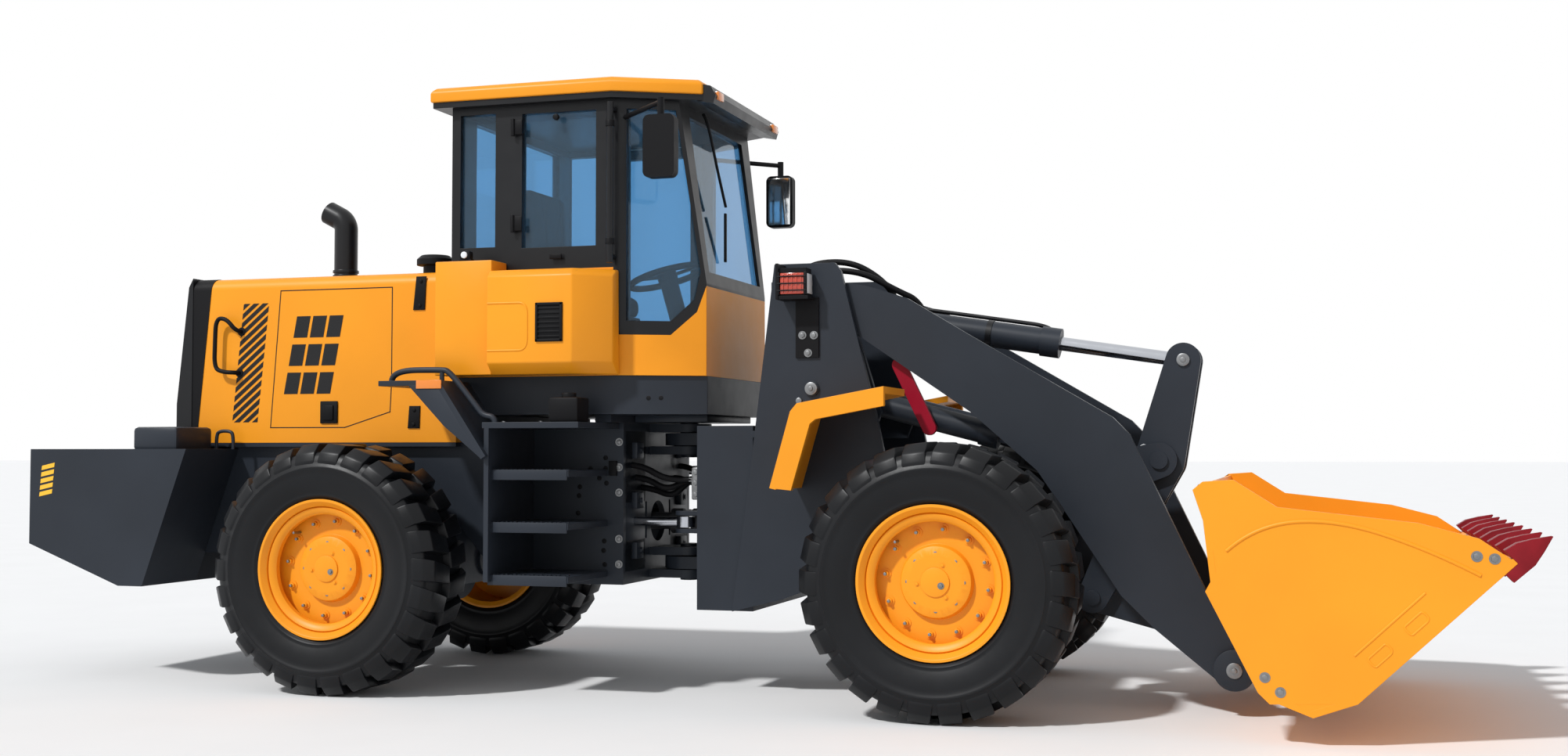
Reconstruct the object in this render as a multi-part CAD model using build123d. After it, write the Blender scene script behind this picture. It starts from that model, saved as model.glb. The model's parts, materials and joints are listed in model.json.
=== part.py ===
from build123d import *
import math
import os

# Articulated wheel loader, in millimetres.
# While it is modelled, x runs forward from the front axle, y to the left and z up from the ground.
# At the end every piece is moved along x so that the origin lies mid-way along the machine.

# Wheels and axles
WHEELBASE = 2900
TRACK = 1700
TYRE_DIAMETER = 1178
TYRE_WIDTH = 410
BEAD_RADIUS = 305
RIM_FLANGE_RADIUS = 327
RIM_HALF_WIDTH = 184
RIM_WALL = 12
DISC_OFFSET = 55
DISC_THICKNESS = 20
HUB_RADIUS = 158
HUB_FACE = 118
SPINDLE_RADIUS = 60
AXLE_TUBE_RADIUS = 105
AXLE_END_RADIUS = 165
DIFFERENTIAL_RADIUS = 215

# Running clearance of pins and shafts, clearance of seated pieces
PIN_PLAY = 0.05
SEAT_PLAY = 0.3

# Articulation
PIVOT_X = -WHEELBASE / 2
PIVOT_PIN_RADIUS = 45
LUG_THICKNESS = 60
LUG_PLAY = 5
FORK_THICKNESS = 40
UPPER_LUG_Z = 1195
LOWER_LUG_Z = 590
SHAFT_HOLE_Z = 790
SHAFT_HOLE_RADIUS = 100
FRONT_LUG_RADIUS = 120
REAR_LUG_RADIUS = 110
FRONT_BULKHEAD_X = -1247
REAR_BULKHEAD_X = -1618
BULKHEAD_THICKNESS = 30

# Front frame
TOWER_OUTER_FACE = 480
TOWER_PLATE = 30
TOWER_TOP_Z = 2000
FRONT_FRAME_BOTTOM_Z = 395
FRONT_BOX_TOP_Z = 1255
FRONT_BOX_HALF_WIDTH = 450

# Lifting gear, side view places (x, z) of its pins
BOOM_PIN = (-640, 1800)
BUCKET_PIN = (1185, 205)
BELLCRANK_PIN = (851, 1094)
TILT_PIN = (960, 1548)
LIFT_BASE_PIN = (-675, 1422)
LIFT_ROD_PIN = (290, 1170)
CROSS_TUBE = (530, 1000)
BELLCRANK_LOWER_LENGTH = 700
BELLCRANK_LOWER_ANGLE = -116
LINK_EAR_LENGTH = 240
LINK_EAR_ANGLE = 145
ARM_CENTRE = 410
ARM_THICKNESS = 50
ARM_SIDE_PLAY = 5
BOOM_PIN_RADIUS = 45
BUCKET_PIN_RADIUS = 38
BELLCRANK_PIN_RADIUS = 40
LIFT_PIN_RADIUS = 35
CROSS_TUBE_RADIUS = 95
ARM_ROOT_RADIUS = 130
ARM_TIP_RADIUS = 85
CHEEK_INNER = 45
CHEEK_OUTER = 85
EYE_HALF_WIDTH = 35

# Cylinders
TILT_BARREL_RADIUS = 62
TILT_ROD_RADIUS = 32
TILT_BARREL_LENGTH = 1050
LIFT_BARREL_RADIUS = 55
LIFT_ROD_RADIUS = 30
LIFT_BARREL_LENGTH = 860
LIFT_CENTRE = 270
STEER_BASE = (-2050, 260)
STEER_EYE = (-1345, 330)
STEER_Z = 800
STEER_BARREL_RADIUS = 42
STEER_ROD_RADIUS = 22
STEER_BARREL_LENGTH = 430
STEER_PIN_RADIUS = 22

# Bucket, in its own level frame with the heel corner at the origin
BUCKET_WIDTH = 2240
BUCKET_ROLL_BACK = 43.6
BUCKET_SHEET = 25
BUCKET_END_PLATE = 20
FLOOR_LENGTH = 787
BUCKET_HEIGHT = 1000
HEEL_CORNER = (1666, 175)
TOOTH_COUNT = 8
TOOTH_LENGTH = 165
TOOTH_WIDTH = 70
TOOTH_THICKNESS = 45

# Rear frame and counterweight
REAR_FRAME_FACE = 450
REAR_FRAME_PLATE = 30
REAR_FRAME_END_X = -3990
REAR_FRAME_TOP_Z = 1180
COUNTERWEIGHT_END_X = -4664
COUNTERWEIGHT_HALF_WIDTH = 880
COUNTERWEIGHT_TOP_Z = 1150
COUNTERWEIGHT_BOTTOM_Z = 475

# Hood
HOOD_HALF_WIDTH = 500
HOOD_REAR_X = -3990
HOOD_FRONT_X = -2480
HOOD_TOP_Z = 2022
HOOD_SHEET = 15

# Cab
CAB_REAR_X = -2430
CAB_HALF_WIDTH = 650
CAB_TAPER_X = -1580
CAB_FRONT_X = -1200
CAB_FRONT_HALF_WIDTH = 450
CAB_WALL = 50
CAB_FLOOR_Z = 1490
CAB_TOP_Z = 2812
CAB_RAKE = 120
CAB_GLASS = 6
CAB_GLASS_INSET = 22
UNDERCAB_BOTTOM_Z = 1309
ROOF_THICKNESS = 72
ROOF_OVERHANG = 60
DOOR_REAR_X = -2110
DOOR_FRONT_X = -1610
DOOR_BOTTOM_Z = 1530
DOOR_TOP_Z = 2780
DOOR_GAP = 6
DOOR_HINGE = (DOOR_REAR_X, CAB_HALF_WIDTH + 22)
HINGE_HEIGHTS = (1750, 2550)
HINGE_RADIUS = 18
HINGE_PIN_RADIUS = 9
HINGE_HALF_HEIGHT = 40
SIDE_BOX_FACE = 850
SIDE_BOX_BOTTOM_Z = 1493
SIDE_BOX_TOP_Z = 1979

WHEEL_Z = TYRE_DIAMETER / 2
REAR_AXLE_X = -WHEELBASE
SIDE = Plane.XZ


# Helpers for plates and round bars
def plate_xz(points, y_low, y_high):
    """Side-view outline (x, z) extruded across from y_low to y_high."""
    face = SIDE.offset(-y_high) * Polygon(*points, align=None)
    return extrude(face, amount=y_high - y_low, dir=(0, -1, 0))


def plate_xy(points, z_low, z_high):
    """Plan outline (x, y) extruded up from z_low to z_high."""
    face = Plane.XY.offset(z_low) * Polygon(*points, align=None)
    return extrude(face, amount=z_high - z_low, dir=(0, 0, 1))


def block(x_low, x_high, y_low, y_high, z_low, z_high):
    """Box between two corners."""
    box = Box(x_high - x_low, y_high - y_low, z_high - z_low, align=(Align.MIN, Align.MIN, Align.MIN))
    return Pos(x_low, y_low, z_low) * box


def bar(start, end, radius):
    """Round bar between two points."""
    start = Vector(*start)
    end = Vector(*end)
    plane = Plane(origin=start, z_dir=end - start)
    return plane * Cylinder(radius, (end - start).length, align=(Align.CENTER, Align.CENTER, Align.MIN))


def bar_y(place, radius, y_low, y_high):
    """Round bar along y at a side-view place (x, z)."""
    return bar((place[0], y_low, place[1]), (place[0], y_high, place[1]), radius)


def bar_z(x, y, radius, z_low, z_high):
    """Upright round bar."""
    return bar((x, y, z_low), (x, y, z_high), radius)


def capsule_xz(start, start_radius, end, end_radius, y_low, y_high):
    """Plate round two side-view places, its edges tangent to both rounds."""
    dx = end[0] - start[0]
    dz = end[1] - start[1]
    length = math.hypot(dx, dz)
    lean = math.asin((start_radius - end_radius) / length)
    heading = math.atan2(dz, dx)
    points = []
    for place, radius, side in (
        (start, start_radius, 1),
        (end, end_radius, 1),
        (end, end_radius, -1),
        (start, start_radius, -1),
    ):
        angle = heading + side * (math.pi / 2 - lean)
        points.append((place[0] + radius * math.cos(angle), place[1] + radius * math.sin(angle)))
    web = plate_xz(points, y_low, y_high)
    return web + bar_y(start, start_radius, y_low, y_high) + bar_y(end, end_radius, y_low, y_high)


def other_side(shape):
    """The same shape on the other side of the machine."""
    return mirror(shape, about=Plane.XZ)


def pair(shape):
    """A shape and its twin on the other side."""
    return [shape, other_side(shape)]


def polar(place, length, angle):
    """Side-view place at a distance and an angle from another."""
    turn = math.radians(angle)
    return (place[0] + length * math.cos(turn), place[1] + length * math.sin(turn))


BELLCRANK_LOWER_PIN = polar(BELLCRANK_PIN, BELLCRANK_LOWER_LENGTH, BELLCRANK_LOWER_ANGLE)
LINK_PIN = polar(BUCKET_PIN, LINK_EAR_LENGTH, LINK_EAR_ANGLE)
ARM_INNER = ARM_CENTRE - ARM_THICKNESS / 2
ARM_OUTER = ARM_CENTRE + ARM_THICKNESS / 2
TOWER_OUTER_INSIDE = TOWER_OUTER_FACE - TOWER_PLATE
TOWER_INNER_FACE = ARM_INNER - (TOWER_OUTER_INSIDE - ARM_OUTER)
TOWER_INNER_BACK = TOWER_INNER_FACE - TOWER_PLATE


# Wheels
def tyre():
    """Wide loader tyre round the y axis, out to the tips of its lugs."""
    outer = TYRE_DIAMETER / 2
    half = TYRE_WIDTH / 2
    bead = RIM_HALF_WIDTH - RIM_WALL - SEAT_PLAY
    flange = RIM_FLANGE_RADIUS + 3
    side = [
        (BEAD_RADIUS, bead),
        (flange, bead),
        (flange + 70, half - 8),
        (outer - 130, half),
        (outer - 45, half - 12),
        (outer, half - 55),
    ]
    profile = side + [(radius, -y) for radius, y in reversed(side)]
    return revolve(Polygon(*profile, align=None), axis=Axis.Y)


def rim():
    """Deep-dish rim with its hub drum, open side towards +y."""
    barrel = BEAD_RADIUS - SEAT_PLAY
    half = RIM_HALF_WIDTH
    disc_out = DISC_OFFSET + DISC_THICKNESS
    profile = [
        (SPINDLE_RADIUS + PIN_PLAY, DISC_OFFSET),
        (barrel - RIM_WALL, DISC_OFFSET),
        (barrel - RIM_WALL, -half + RIM_WALL),
        (RIM_FLANGE_RADIUS - RIM_WALL, -half),
        (RIM_FLANGE_RADIUS, -half),
        (RIM_FLANGE_RADIUS, -half + RIM_WALL),
        (barrel, -half + RIM_WALL),
        (barrel, half - RIM_WALL),
        (RIM_FLANGE_RADIUS, half - RIM_WALL),
        (RIM_FLANGE_RADIUS, half),
        (RIM_FLANGE_RADIUS - RIM_WALL, half),
        (barrel - RIM_WALL, half - 2 * RIM_WALL),
        (barrel - RIM_WALL, disc_out),
        (HUB_RADIUS, disc_out),
        (HUB_RADIUS - 8, HUB_FACE - 14),
        (HUB_RADIUS - 50, HUB_FACE),
        (0, HUB_FACE),
        (0, HUB_FACE - 14),
        (SPINDLE_RADIUS + PIN_PLAY, HUB_FACE - 14),
    ]
    return revolve(Polygon(*profile, align=None), axis=Axis.Y)


def axle(x):
    """Axle housing with its differential and a spindle at each end."""
    end = TRACK / 2 + DISC_OFFSET - LUG_PLAY
    spindle = TRACK / 2 + HUB_FACE - 16
    tube = bar((x, -end, WHEEL_Z), (x, end, WHEEL_Z), AXLE_TUBE_RADIUS)
    case = bar((x - 190, 0, WHEEL_Z), (x + 190, 0, WHEEL_Z), DIFFERENTIAL_RADIUS)
    shape = tube + case
    for side in (1, -1):
        shape += bar((x, side * (end - 190), WHEEL_Z), (x, side * end, WHEEL_Z), AXLE_END_RADIUS)
        shape += bar((x, side * end, WHEEL_Z), (x, side * spindle, WHEEL_Z), SPINDLE_RADIUS)
    return shape


# Front frame
def front_frame():
    """Twin-plate tower, articulation box and lugs, with the pins that carry the boom and cylinders."""
    outline = [
        (-856, TOWER_TOP_Z),
        (-567, TOWER_TOP_Z),
        (-537, TOWER_TOP_Z - 40),
        (-375, 1313),
        (-310, 1000),
        (190, 880),
        (190, WHEEL_Z + AXLE_TUBE_RADIUS + SEAT_PLAY),
        (-190, WHEEL_Z + AXLE_TUBE_RADIUS + SEAT_PLAY),
        (-816, 457),
        (-1063, FRONT_FRAME_BOTTOM_Z),
        (-980, 1001),
    ]
    inner = [
        (-856, TOWER_TOP_Z - 60),
        (-567, TOWER_TOP_Z - 60),
        (-375, 1313),
        (-420, 1200),
        (-960, 1200),
    ]
    plates = plate_xz(outline, TOWER_OUTER_INSIDE, TOWER_OUTER_FACE)
    plates += plate_xz(inner, TOWER_INNER_BACK, TOWER_INNER_FACE)
    plates += bar_y(BOOM_PIN, BOOM_PIN_RADIUS, TOWER_INNER_BACK, TOWER_OUTER_FACE)
    plates += bar_y(LIFT_BASE_PIN, LIFT_PIN_RADIUS, LIFT_CENTRE - 80, TOWER_OUTER_FACE + 12)
    plates += plate_xz(
        [(-860, 1520), (-860, 1300), (-640, 1370), (-620, 1422), (-640, 1480)],
        LIFT_CENTRE - 90,
        LIFT_CENTRE - 70,
    )
    shape = plates + other_side(plates)
    back = TOWER_OUTER_INSIDE
    shape += block(-1000, -970, -back, back, FRONT_FRAME_BOTTOM_Z, 1225)
    shape += block(-880, -850, -back, back, 1225, TOWER_TOP_Z - 80)
    shape += block(-1000, -850, -back, back, 1200, 1230)
    for side in (1, -1):
        lug = capsule_xz(BOOM_PIN, 90, (-860, 1760), 120, 0, 30)
        shape += Pos(0, side * 75 - 15, 0) * lug
    shape += bar_y(BOOM_PIN, BOOM_PIN_RADIUS, -90, 90)
    return shape + front_box() + front_saddle() + steer_lugs()


def front_saddle():
    """Cross beam between the tower plates over the front axle."""
    low = WHEEL_Z + DIFFERENTIAL_RADIUS + 20
    beam = block(-190, 190, -TOWER_OUTER_INSIDE, TOWER_OUTER_INSIDE, low, low + 50)
    return beam


def front_box():
    """Box behind the tower with the two articulation lugs."""
    low = FRONT_FRAME_BOTTOM_Z
    top = FRONT_BOX_TOP_Z
    half = FRONT_BOX_HALF_WIDTH
    shape = block(FRONT_BULKHEAD_X, FRONT_BULKHEAD_X + BULKHEAD_THICKNESS, -half, half, low, top)
    shape += block(FRONT_BULKHEAD_X, -970, -half, half, top - 30, top)
    shape += block(FRONT_BULKHEAD_X, -970, -half, half, low, low + 30)
    for side in (1, -1):
        y_low = min(side * half, side * (half - 30))
        shape += block(FRONT_BULKHEAD_X, -970, y_low, y_low + 30, low, top)
    shaft_hole = bar((FRONT_BULKHEAD_X - 10, 0, SHAFT_HOLE_Z), (-940, 0, SHAFT_HOLE_Z), SHAFT_HOLE_RADIUS)
    shape -= shaft_hole
    for z in (UPPER_LUG_Z, LOWER_LUG_Z):
        z_low = z - LUG_THICKNESS / 2
        z_high = z + LUG_THICKNESS / 2
        lug = bar_z(PIVOT_X, 0, FRONT_LUG_RADIUS, z_low, z_high)
        lug += block(PIVOT_X, FRONT_BULKHEAD_X + 10, -FRONT_LUG_RADIUS, FRONT_LUG_RADIUS, z_low, z_high)
        shape += lug - bar_z(PIVOT_X, 0, PIVOT_PIN_RADIUS + PIN_PLAY, z_low - 1, z_high + 1)
    return shape


def steer_lugs():
    """Lug pairs in front of the bulkhead that the steering rods' eyes run between."""
    x, y = STEER_EYE
    reach = 50
    shape = None
    for z in (STEER_Z + 32, STEER_Z - 52):
        lug = block(x, FRONT_BULKHEAD_X + 5, y - reach, y + reach, z, z + 20) + bar_z(x, y, reach, z, z + 20)
        shape = lug if shape is None else shape + lug
    return shape + other_side(shape)


def front_fender():
    """Bent mudguard plate with a deep outer lip, left side."""
    outline = [(-240, 1415), (-630, 1345), (-660, 1310), (-755, 975), (-725, 968), (-632, 1290), (-600, 1318), (-240, 1383)]
    lip = [(-240, 1415), (-630, 1345), (-660, 1310), (-755, 975), (-656, 965), (-570, 1255), (-545, 1275), (-240, 1330)]
    return plate_xz(outline, TOWER_OUTER_FACE, 880) + plate_xz(lip, 850, 880)


def work_lamp():
    """Square lamp in a guard frame on a bracket, left side."""
    face = TOWER_OUTER_FACE
    bracket = block(-750, -640, face, face + 12, 1564, 1840)
    shelf = block(-800, -660, face, face + 120, 1826, 1842)
    lamp = block(-800, -672, face + 20, face + 110, 1842, 1970)
    guard = block(-812, -800, face, face + 125, 1826, 1990)
    return bracket + shelf + lamp + guard


# Boom and its linkage
def arm():
    """One boom plate with its root and tip rounds, left side."""
    tip = BUCKET_PIN
    root = BOOM_PIN
    outline = [
        (root[0], root[1] + ARM_ROOT_RADIUS),
        (-430, 1893),
        (-240, 1832),
        (52, 1655),
        (681, 1283),
        (751, 1210),
        (1067, 540),
        (tip[0] + 72, tip[1] + 45),
        tip,
        (tip[0] - 50, tip[1] - 69),
        (852, 367),
        (709, 508),
        (471, 868),
        (348, 1050),
        (51, 1311),
        (-466, 1665),
        (root[0], root[1] - ARM_ROOT_RADIUS),
    ]
    shape = plate_xz(outline, ARM_INNER, ARM_OUTER)
    shape += bar_y(root, ARM_ROOT_RADIUS, ARM_INNER - 10, ARM_OUTER + 10)
    shape += bar_y(tip, ARM_TIP_RADIUS, ARM_INNER, ARM_OUTER)
    shape -= bar_y(root, BOOM_PIN_RADIUS + PIN_PLAY, ARM_INNER - 20, ARM_OUTER + 20)
    shape -= bar_y(tip, BUCKET_PIN_RADIUS + PIN_PLAY, ARM_INNER - 20, ARM_OUTER + 20)
    shape += bar_y(LIFT_ROD_PIN, LIFT_PIN_RADIUS + 25, LIFT_CENTRE + EYE_HALF_WIDTH + 8, ARM_INNER)
    return shape


def boom():
    """Two arms joined by a cross tube that carries the bellcrank's bearing plates."""
    shape = arm() + other_side(arm())
    shape += bar_y(CROSS_TUBE, CROSS_TUBE_RADIUS, -ARM_INNER, ARM_INNER)
    bearing = capsule_xz(CROSS_TUBE, CROSS_TUBE_RADIUS + 15, BELLCRANK_PIN, 80, CHEEK_OUTER + 7, CHEEK_OUTER + 37)
    shape += bearing + other_side(bearing)
    reach = CHEEK_OUTER + 50
    return shape + bar_y(BELLCRANK_PIN, BELLCRANK_PIN_RADIUS, -reach, reach)


def safety_strut():
    """Boom lock bar stowed under the right arm."""
    top = (-290, 1530)
    foot = (-150, 1240)
    return capsule_xz(top, 32, foot, 32, -ARM_INNER, -ARM_INNER + 30)


def bellcrank():
    """Two cheeks on a hub, forked at the top for the tilt rod and at the bottom for the link."""
    cheek = capsule_xz(TILT_PIN, 78, BELLCRANK_PIN, 112, CHEEK_INNER, CHEEK_OUTER)
    cheek += capsule_xz(BELLCRANK_PIN, 112, BELLCRANK_LOWER_PIN, 70, CHEEK_INNER, CHEEK_OUTER)
    cheek += bar_y(TILT_PIN, 30, CHEEK_INNER, CHEEK_OUTER + 10)
    shape = cheek + other_side(cheek)
    shape += bar_y(BELLCRANK_PIN, 80, -CHEEK_INNER, CHEEK_INNER)
    shape += bar_y(BELLCRANK_LOWER_PIN, LIFT_PIN_RADIUS, -CHEEK_OUTER - 10, CHEEK_OUTER + 10)
    bore = bar_y(BELLCRANK_PIN, BELLCRANK_PIN_RADIUS + PIN_PLAY, -CHEEK_OUTER - 1, CHEEK_OUTER + 1)
    return shape - bore


def bucket_link():
    """Flat link from the bellcrank's foot to the bucket's ears."""
    width = EYE_HALF_WIDTH
    shape = capsule_xz(BELLCRANK_LOWER_PIN, 66, LINK_PIN, 60, -width, width)
    shape -= bar_y(BELLCRANK_LOWER_PIN, LIFT_PIN_RADIUS + PIN_PLAY, -width - 1, width + 1)
    return shape - bar_y(LINK_PIN, LIFT_PIN_RADIUS + 1, -width - 1, width + 1)


def bucket_place(points):
    """Points of the level bucket, turned and moved to where it is carried."""
    turn = math.radians(BUCKET_ROLL_BACK)
    placed = []
    for x, z in points:
        placed.append((
            HEEL_CORNER[0] + x * math.cos(turn) - z * math.sin(turn),
            HEEL_CORNER[1] + x * math.sin(turn) + z * math.cos(turn),
        ))
    return placed


def bucket_sheet_line():
    """Outside line of the wrapped sheet, from the lip to the top edge, bucket level."""
    return [
        (FLOOR_LENGTH, 0),
        (0, 0),
        (-160, 70),
        (-222, 200),
        (-215, 300),
        (-110, 660),
        (20, 830),
        (150, BUCKET_HEIGHT),
    ]


def bucket():
    """Open-mouthed bucket: wrapped sheet, two end plates, hinge ears and link ears."""
    half = BUCKET_WIDTH / 2
    line = bucket_sheet_line()
    inside = [
        (150 + BUCKET_SHEET, BUCKET_HEIGHT - 15),
        (20 + BUCKET_SHEET, 820),
        (-110 + BUCKET_SHEET, 650),
        (-215 + BUCKET_SHEET, 295),
        (-222 + BUCKET_SHEET, 208),
        (-145, 70 + BUCKET_SHEET),
        (5, BUCKET_SHEET),
        (FLOOR_LENGTH, BUCKET_SHEET),
    ]
    shape = plate_xz(bucket_place(line + inside), -half, half)
    end = [
        (FLOOR_LENGTH, 0),
        (0, 0),
        (-244, 213),
        (-246, 274),
        (-121, 686),
        (-16, 720),
        (120, 1003),
        (170, BUCKET_HEIGHT),
        (260, 926),
        (306, 737),
        (638, 344),
        (754, 157),
    ]
    end_plate = plate_xz(bucket_place(end), half - BUCKET_END_PLATE, half)
    shape += end_plate + other_side(end_plate)
    shape += bucket_ears()
    return shape


def bucket_ears():
    """Ear plates behind the bucket: two beside each arm's tip and two beside the link."""
    ears = []
    gap = ARM_SIDE_PLAY
    for y_low in (ARM_INNER - gap - 30, ARM_OUTER + gap):
        anchor = bucket_place([(-215, 200), (-180, 420)])
        ear = plate_xz([BUCKET_PIN, anchor[0], anchor[1]], y_low, y_low + 30)
        ears.append(ear + bar_y(BUCKET_PIN, 75, y_low, y_low + 30))
    shape = ears[0] + ears[1]
    shape += bar_y(BUCKET_PIN, BUCKET_PIN_RADIUS, ARM_INNER - gap - 30, ARM_OUTER + gap + 30)
    link_ear_anchor = bucket_place([(-200, 300), (-110, 640)])
    link_ear = plate_xz([LINK_PIN, link_ear_anchor[0], link_ear_anchor[1]], CHEEK_INNER, CHEEK_INNER + 30)
    link_ear += bar_y(LINK_PIN, 62, CHEEK_INNER, CHEEK_INNER + 30)
    link_ear += bar_y(LINK_PIN, LIFT_PIN_RADIUS, CHEEK_INNER, CHEEK_INNER + 45)
    shape += link_ear
    return shape + other_side(shape)


def bucket_teeth():
    """Pointed teeth bolted along the lip, as separate solids."""
    outline = [
        (FLOOR_LENGTH - 60, -TOOTH_THICKNESS),
        (FLOOR_LENGTH - 60, 0),
        (FLOOR_LENGTH, 0),
        (FLOOR_LENGTH, BUCKET_SHEET),
        (FLOOR_LENGTH + 30, BUCKET_SHEET),
        (FLOOR_LENGTH + TOOTH_LENGTH, 6),
        (FLOOR_LENGTH + TOOTH_LENGTH, 0),
        (FLOOR_LENGTH + 40, -TOOTH_THICKNESS),
    ]
    placed = bucket_place(outline)
    first = -BUCKET_WIDTH / 2 + TOOTH_WIDTH / 2
    pitch = (BUCKET_WIDTH - TOOTH_WIDTH) / (TOOTH_COUNT - 1)
    teeth = []
    for index in range(TOOTH_COUNT):
        middle = first + index * pitch
        teeth.append(plate_xz(placed, middle - TOOTH_WIDTH / 2, middle + TOOTH_WIDTH / 2))
    return teeth


# Cylinders
def along(start, end, distance):
    """Point at a distance from start on the way to end, with y kept."""
    step = distance / math.dist(start, end)
    return tuple(a + (b - a) * step for a, b in zip(start, end))


def barrel(start, end, radius, rod_radius, length, eye_radius, pin_radius, eye_half, upright):
    """Cylinder barrel with a bored eye at its start and a gland that the rod runs in."""
    neck = along(start, end, eye_radius * 0.6)
    foot = along(start, end, eye_radius + 30)
    head = along(start, end, length)
    gland = along(start, end, length - 90)
    shape = bar(neck, foot, eye_half - 4) + bar(foot, head, radius) + bar(gland, head, radius + 8)
    shape += eye(start, eye_radius, eye_half, upright)
    shape -= eye(start, pin_radius + PIN_PLAY, eye_half + 1, upright)
    hollow = along(start, end, eye_radius + 55)
    return shape - bar(hollow, along(start, end, length + 1), rod_radius + PIN_PLAY)


def rod(start, end, radius, inner_end, eye_radius, pin_radius, eye_half, upright):
    """Cylinder rod with an open eye at its end."""
    shape = bar(along(start, end, inner_end), along(start, end, math.dist(start, end) - eye_radius * 0.6), radius)
    shape += eye(end, eye_radius, eye_half, upright)
    return shape - eye(end, pin_radius + 1, eye_half + 1, upright)


def eye(place, radius, half, upright):
    """Round eye about a pin along y, or about an upright pin."""
    x, y, z = place
    if upright:
        return bar((x, y, z - half), (x, y, z + half), radius)
    return bar((x, y - half, z), (x, y + half, z), radius)


def at(place, y):
    """Side-view place put at a distance across."""
    return (place[0], y, place[1])


def tilt_barrel():
    """Tilt cylinder barrel, hung on the tower's middle pin."""
    return barrel(at(BOOM_PIN, 0), at(TILT_PIN, 0), TILT_BARREL_RADIUS, TILT_ROD_RADIUS,
                  TILT_BARREL_LENGTH, 80, BOOM_PIN_RADIUS, 50, False)


def tilt_rod():
    """Tilt cylinder rod, its eye between the bellcrank's cheeks."""
    return rod(at(BOOM_PIN, 0), at(TILT_PIN, 0), TILT_ROD_RADIUS, 560, 62, 30, EYE_HALF_WIDTH, False)


def lift_barrel():
    """Lift cylinder barrel, left side."""
    return barrel(at(LIFT_BASE_PIN, LIFT_CENTRE), at(LIFT_ROD_PIN, LIFT_CENTRE), LIFT_BARREL_RADIUS,
                  LIFT_ROD_RADIUS, LIFT_BARREL_LENGTH, 68, LIFT_PIN_RADIUS, EYE_HALF_WIDTH, False)


def lift_rod():
    """Lift cylinder rod, left side, with an eye opened wide round the arm's pin."""
    return rod(at(LIFT_BASE_PIN, LIFT_CENTRE), at(LIFT_ROD_PIN, LIFT_CENTRE), LIFT_ROD_RADIUS,
               160, 60, LIFT_PIN_RADIUS, EYE_HALF_WIDTH, False)


def steer_ends():
    """Ends of the left steering cylinder."""
    return (STEER_BASE[0], STEER_BASE[1], STEER_Z), (STEER_EYE[0], STEER_EYE[1], STEER_Z)


def steer_barrel():
    """Steering cylinder barrel, left side."""
    start, end = steer_ends()
    return barrel(start, end, STEER_BARREL_RADIUS, STEER_ROD_RADIUS, STEER_BARREL_LENGTH, 48,
                  STEER_PIN_RADIUS, 25, True)


def steer_rod():
    """Steering cylinder rod, left side."""
    start, end = steer_ends()
    return rod(start, end, STEER_ROD_RADIUS, 300, 45, STEER_PIN_RADIUS, 25, True)


# Rear frame
def rear_frame():
    """Two side plates with bulkheads, articulation forks, cab beams and steering pins."""
    inside = REAR_FRAME_FACE - REAR_FRAME_PLATE
    top = REAR_FRAME_TOP_Z
    outline = [
        (REAR_BULKHEAD_X, 503),
        (REAR_BULKHEAD_X, 1272),
        (-2300, 1272),
        (-2450, top),
        (REAR_FRAME_END_X, top),
        (REAR_FRAME_END_X, 620),
        (-3450, 620),
        (-3300, 790),
        (-2500, 790),
        (-2250, 503),
    ]
    plate = plate_xz(outline, inside, REAR_FRAME_FACE)
    plate += block(REAR_FRAME_END_X, HOOD_FRONT_X, inside, HOOD_HALF_WIDTH, top - 20, top)
    shape = plate + other_side(plate)
    shape += block(REAR_BULKHEAD_X - BULKHEAD_THICKNESS, REAR_BULKHEAD_X, -inside, inside, 503, 1272)
    shape += block(REAR_FRAME_END_X, REAR_FRAME_END_X + 30, -inside, inside, 620, top)
    for x in (-1700, -2330):
        shape += block(x, x + 80, -600, 600, 1272, UNDERCAB_BOTTOM_Z)
    for x in (REAR_AXLE_X - 330, REAR_AXLE_X + 290):
        hanger = block(x, x + 40, -inside, inside, WHEEL_Z - 120, 860)
        shape += hanger - bar((x - 1, 0, WHEEL_Z), (x + 41, 0, WHEEL_Z), 90 + PIN_PLAY)
    shape -= bar((REAR_BULKHEAD_X - 40, 0, SHAFT_HOLE_Z), (REAR_BULKHEAD_X + 10, 0, SHAFT_HOLE_Z), SHAFT_HOLE_RADIUS)
    for z in (UPPER_LUG_Z, LOWER_LUG_Z):
        shape += fork(z)
    for side in (1, -1):
        window = block(REAR_BULKHEAD_X - 40, REAR_BULKHEAD_X + 10, 150, inside, STEER_Z - 90, STEER_Z + 90)
        shape -= window if side > 0 else other_side(window)
    steer = block(STEER_BASE[0] - 40, STEER_BASE[0] + 40, STEER_BASE[1] - 60, inside, STEER_Z + 30, STEER_Z + 50)
    steer += block(STEER_BASE[0] - 40, STEER_BASE[0] + 40, STEER_BASE[1] - 60, inside, STEER_Z - 50, STEER_Z - 30)
    steer += bar_z(STEER_BASE[0], STEER_BASE[1], STEER_PIN_RADIUS, STEER_Z - 55, STEER_Z + 55)
    return shape + steer + other_side(steer)


def fork(z):
    """Two fork plates with the articulation pin between them."""
    near = LUG_THICKNESS / 2 + LUG_PLAY
    far = near + FORK_THICKNESS
    shape = bar_z(PIVOT_X, 0, PIVOT_PIN_RADIUS, z - far - 15, z + far + 15)
    for low in (z - far, z + near):
        shape += bar_z(PIVOT_X, 0, REAR_LUG_RADIUS, low, low + FORK_THICKNESS)
        shape += block(REAR_BULKHEAD_X - 5, PIVOT_X, -REAR_LUG_RADIUS, REAR_LUG_RADIUS, low, low + FORK_THICKNESS)
    return shape


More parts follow.
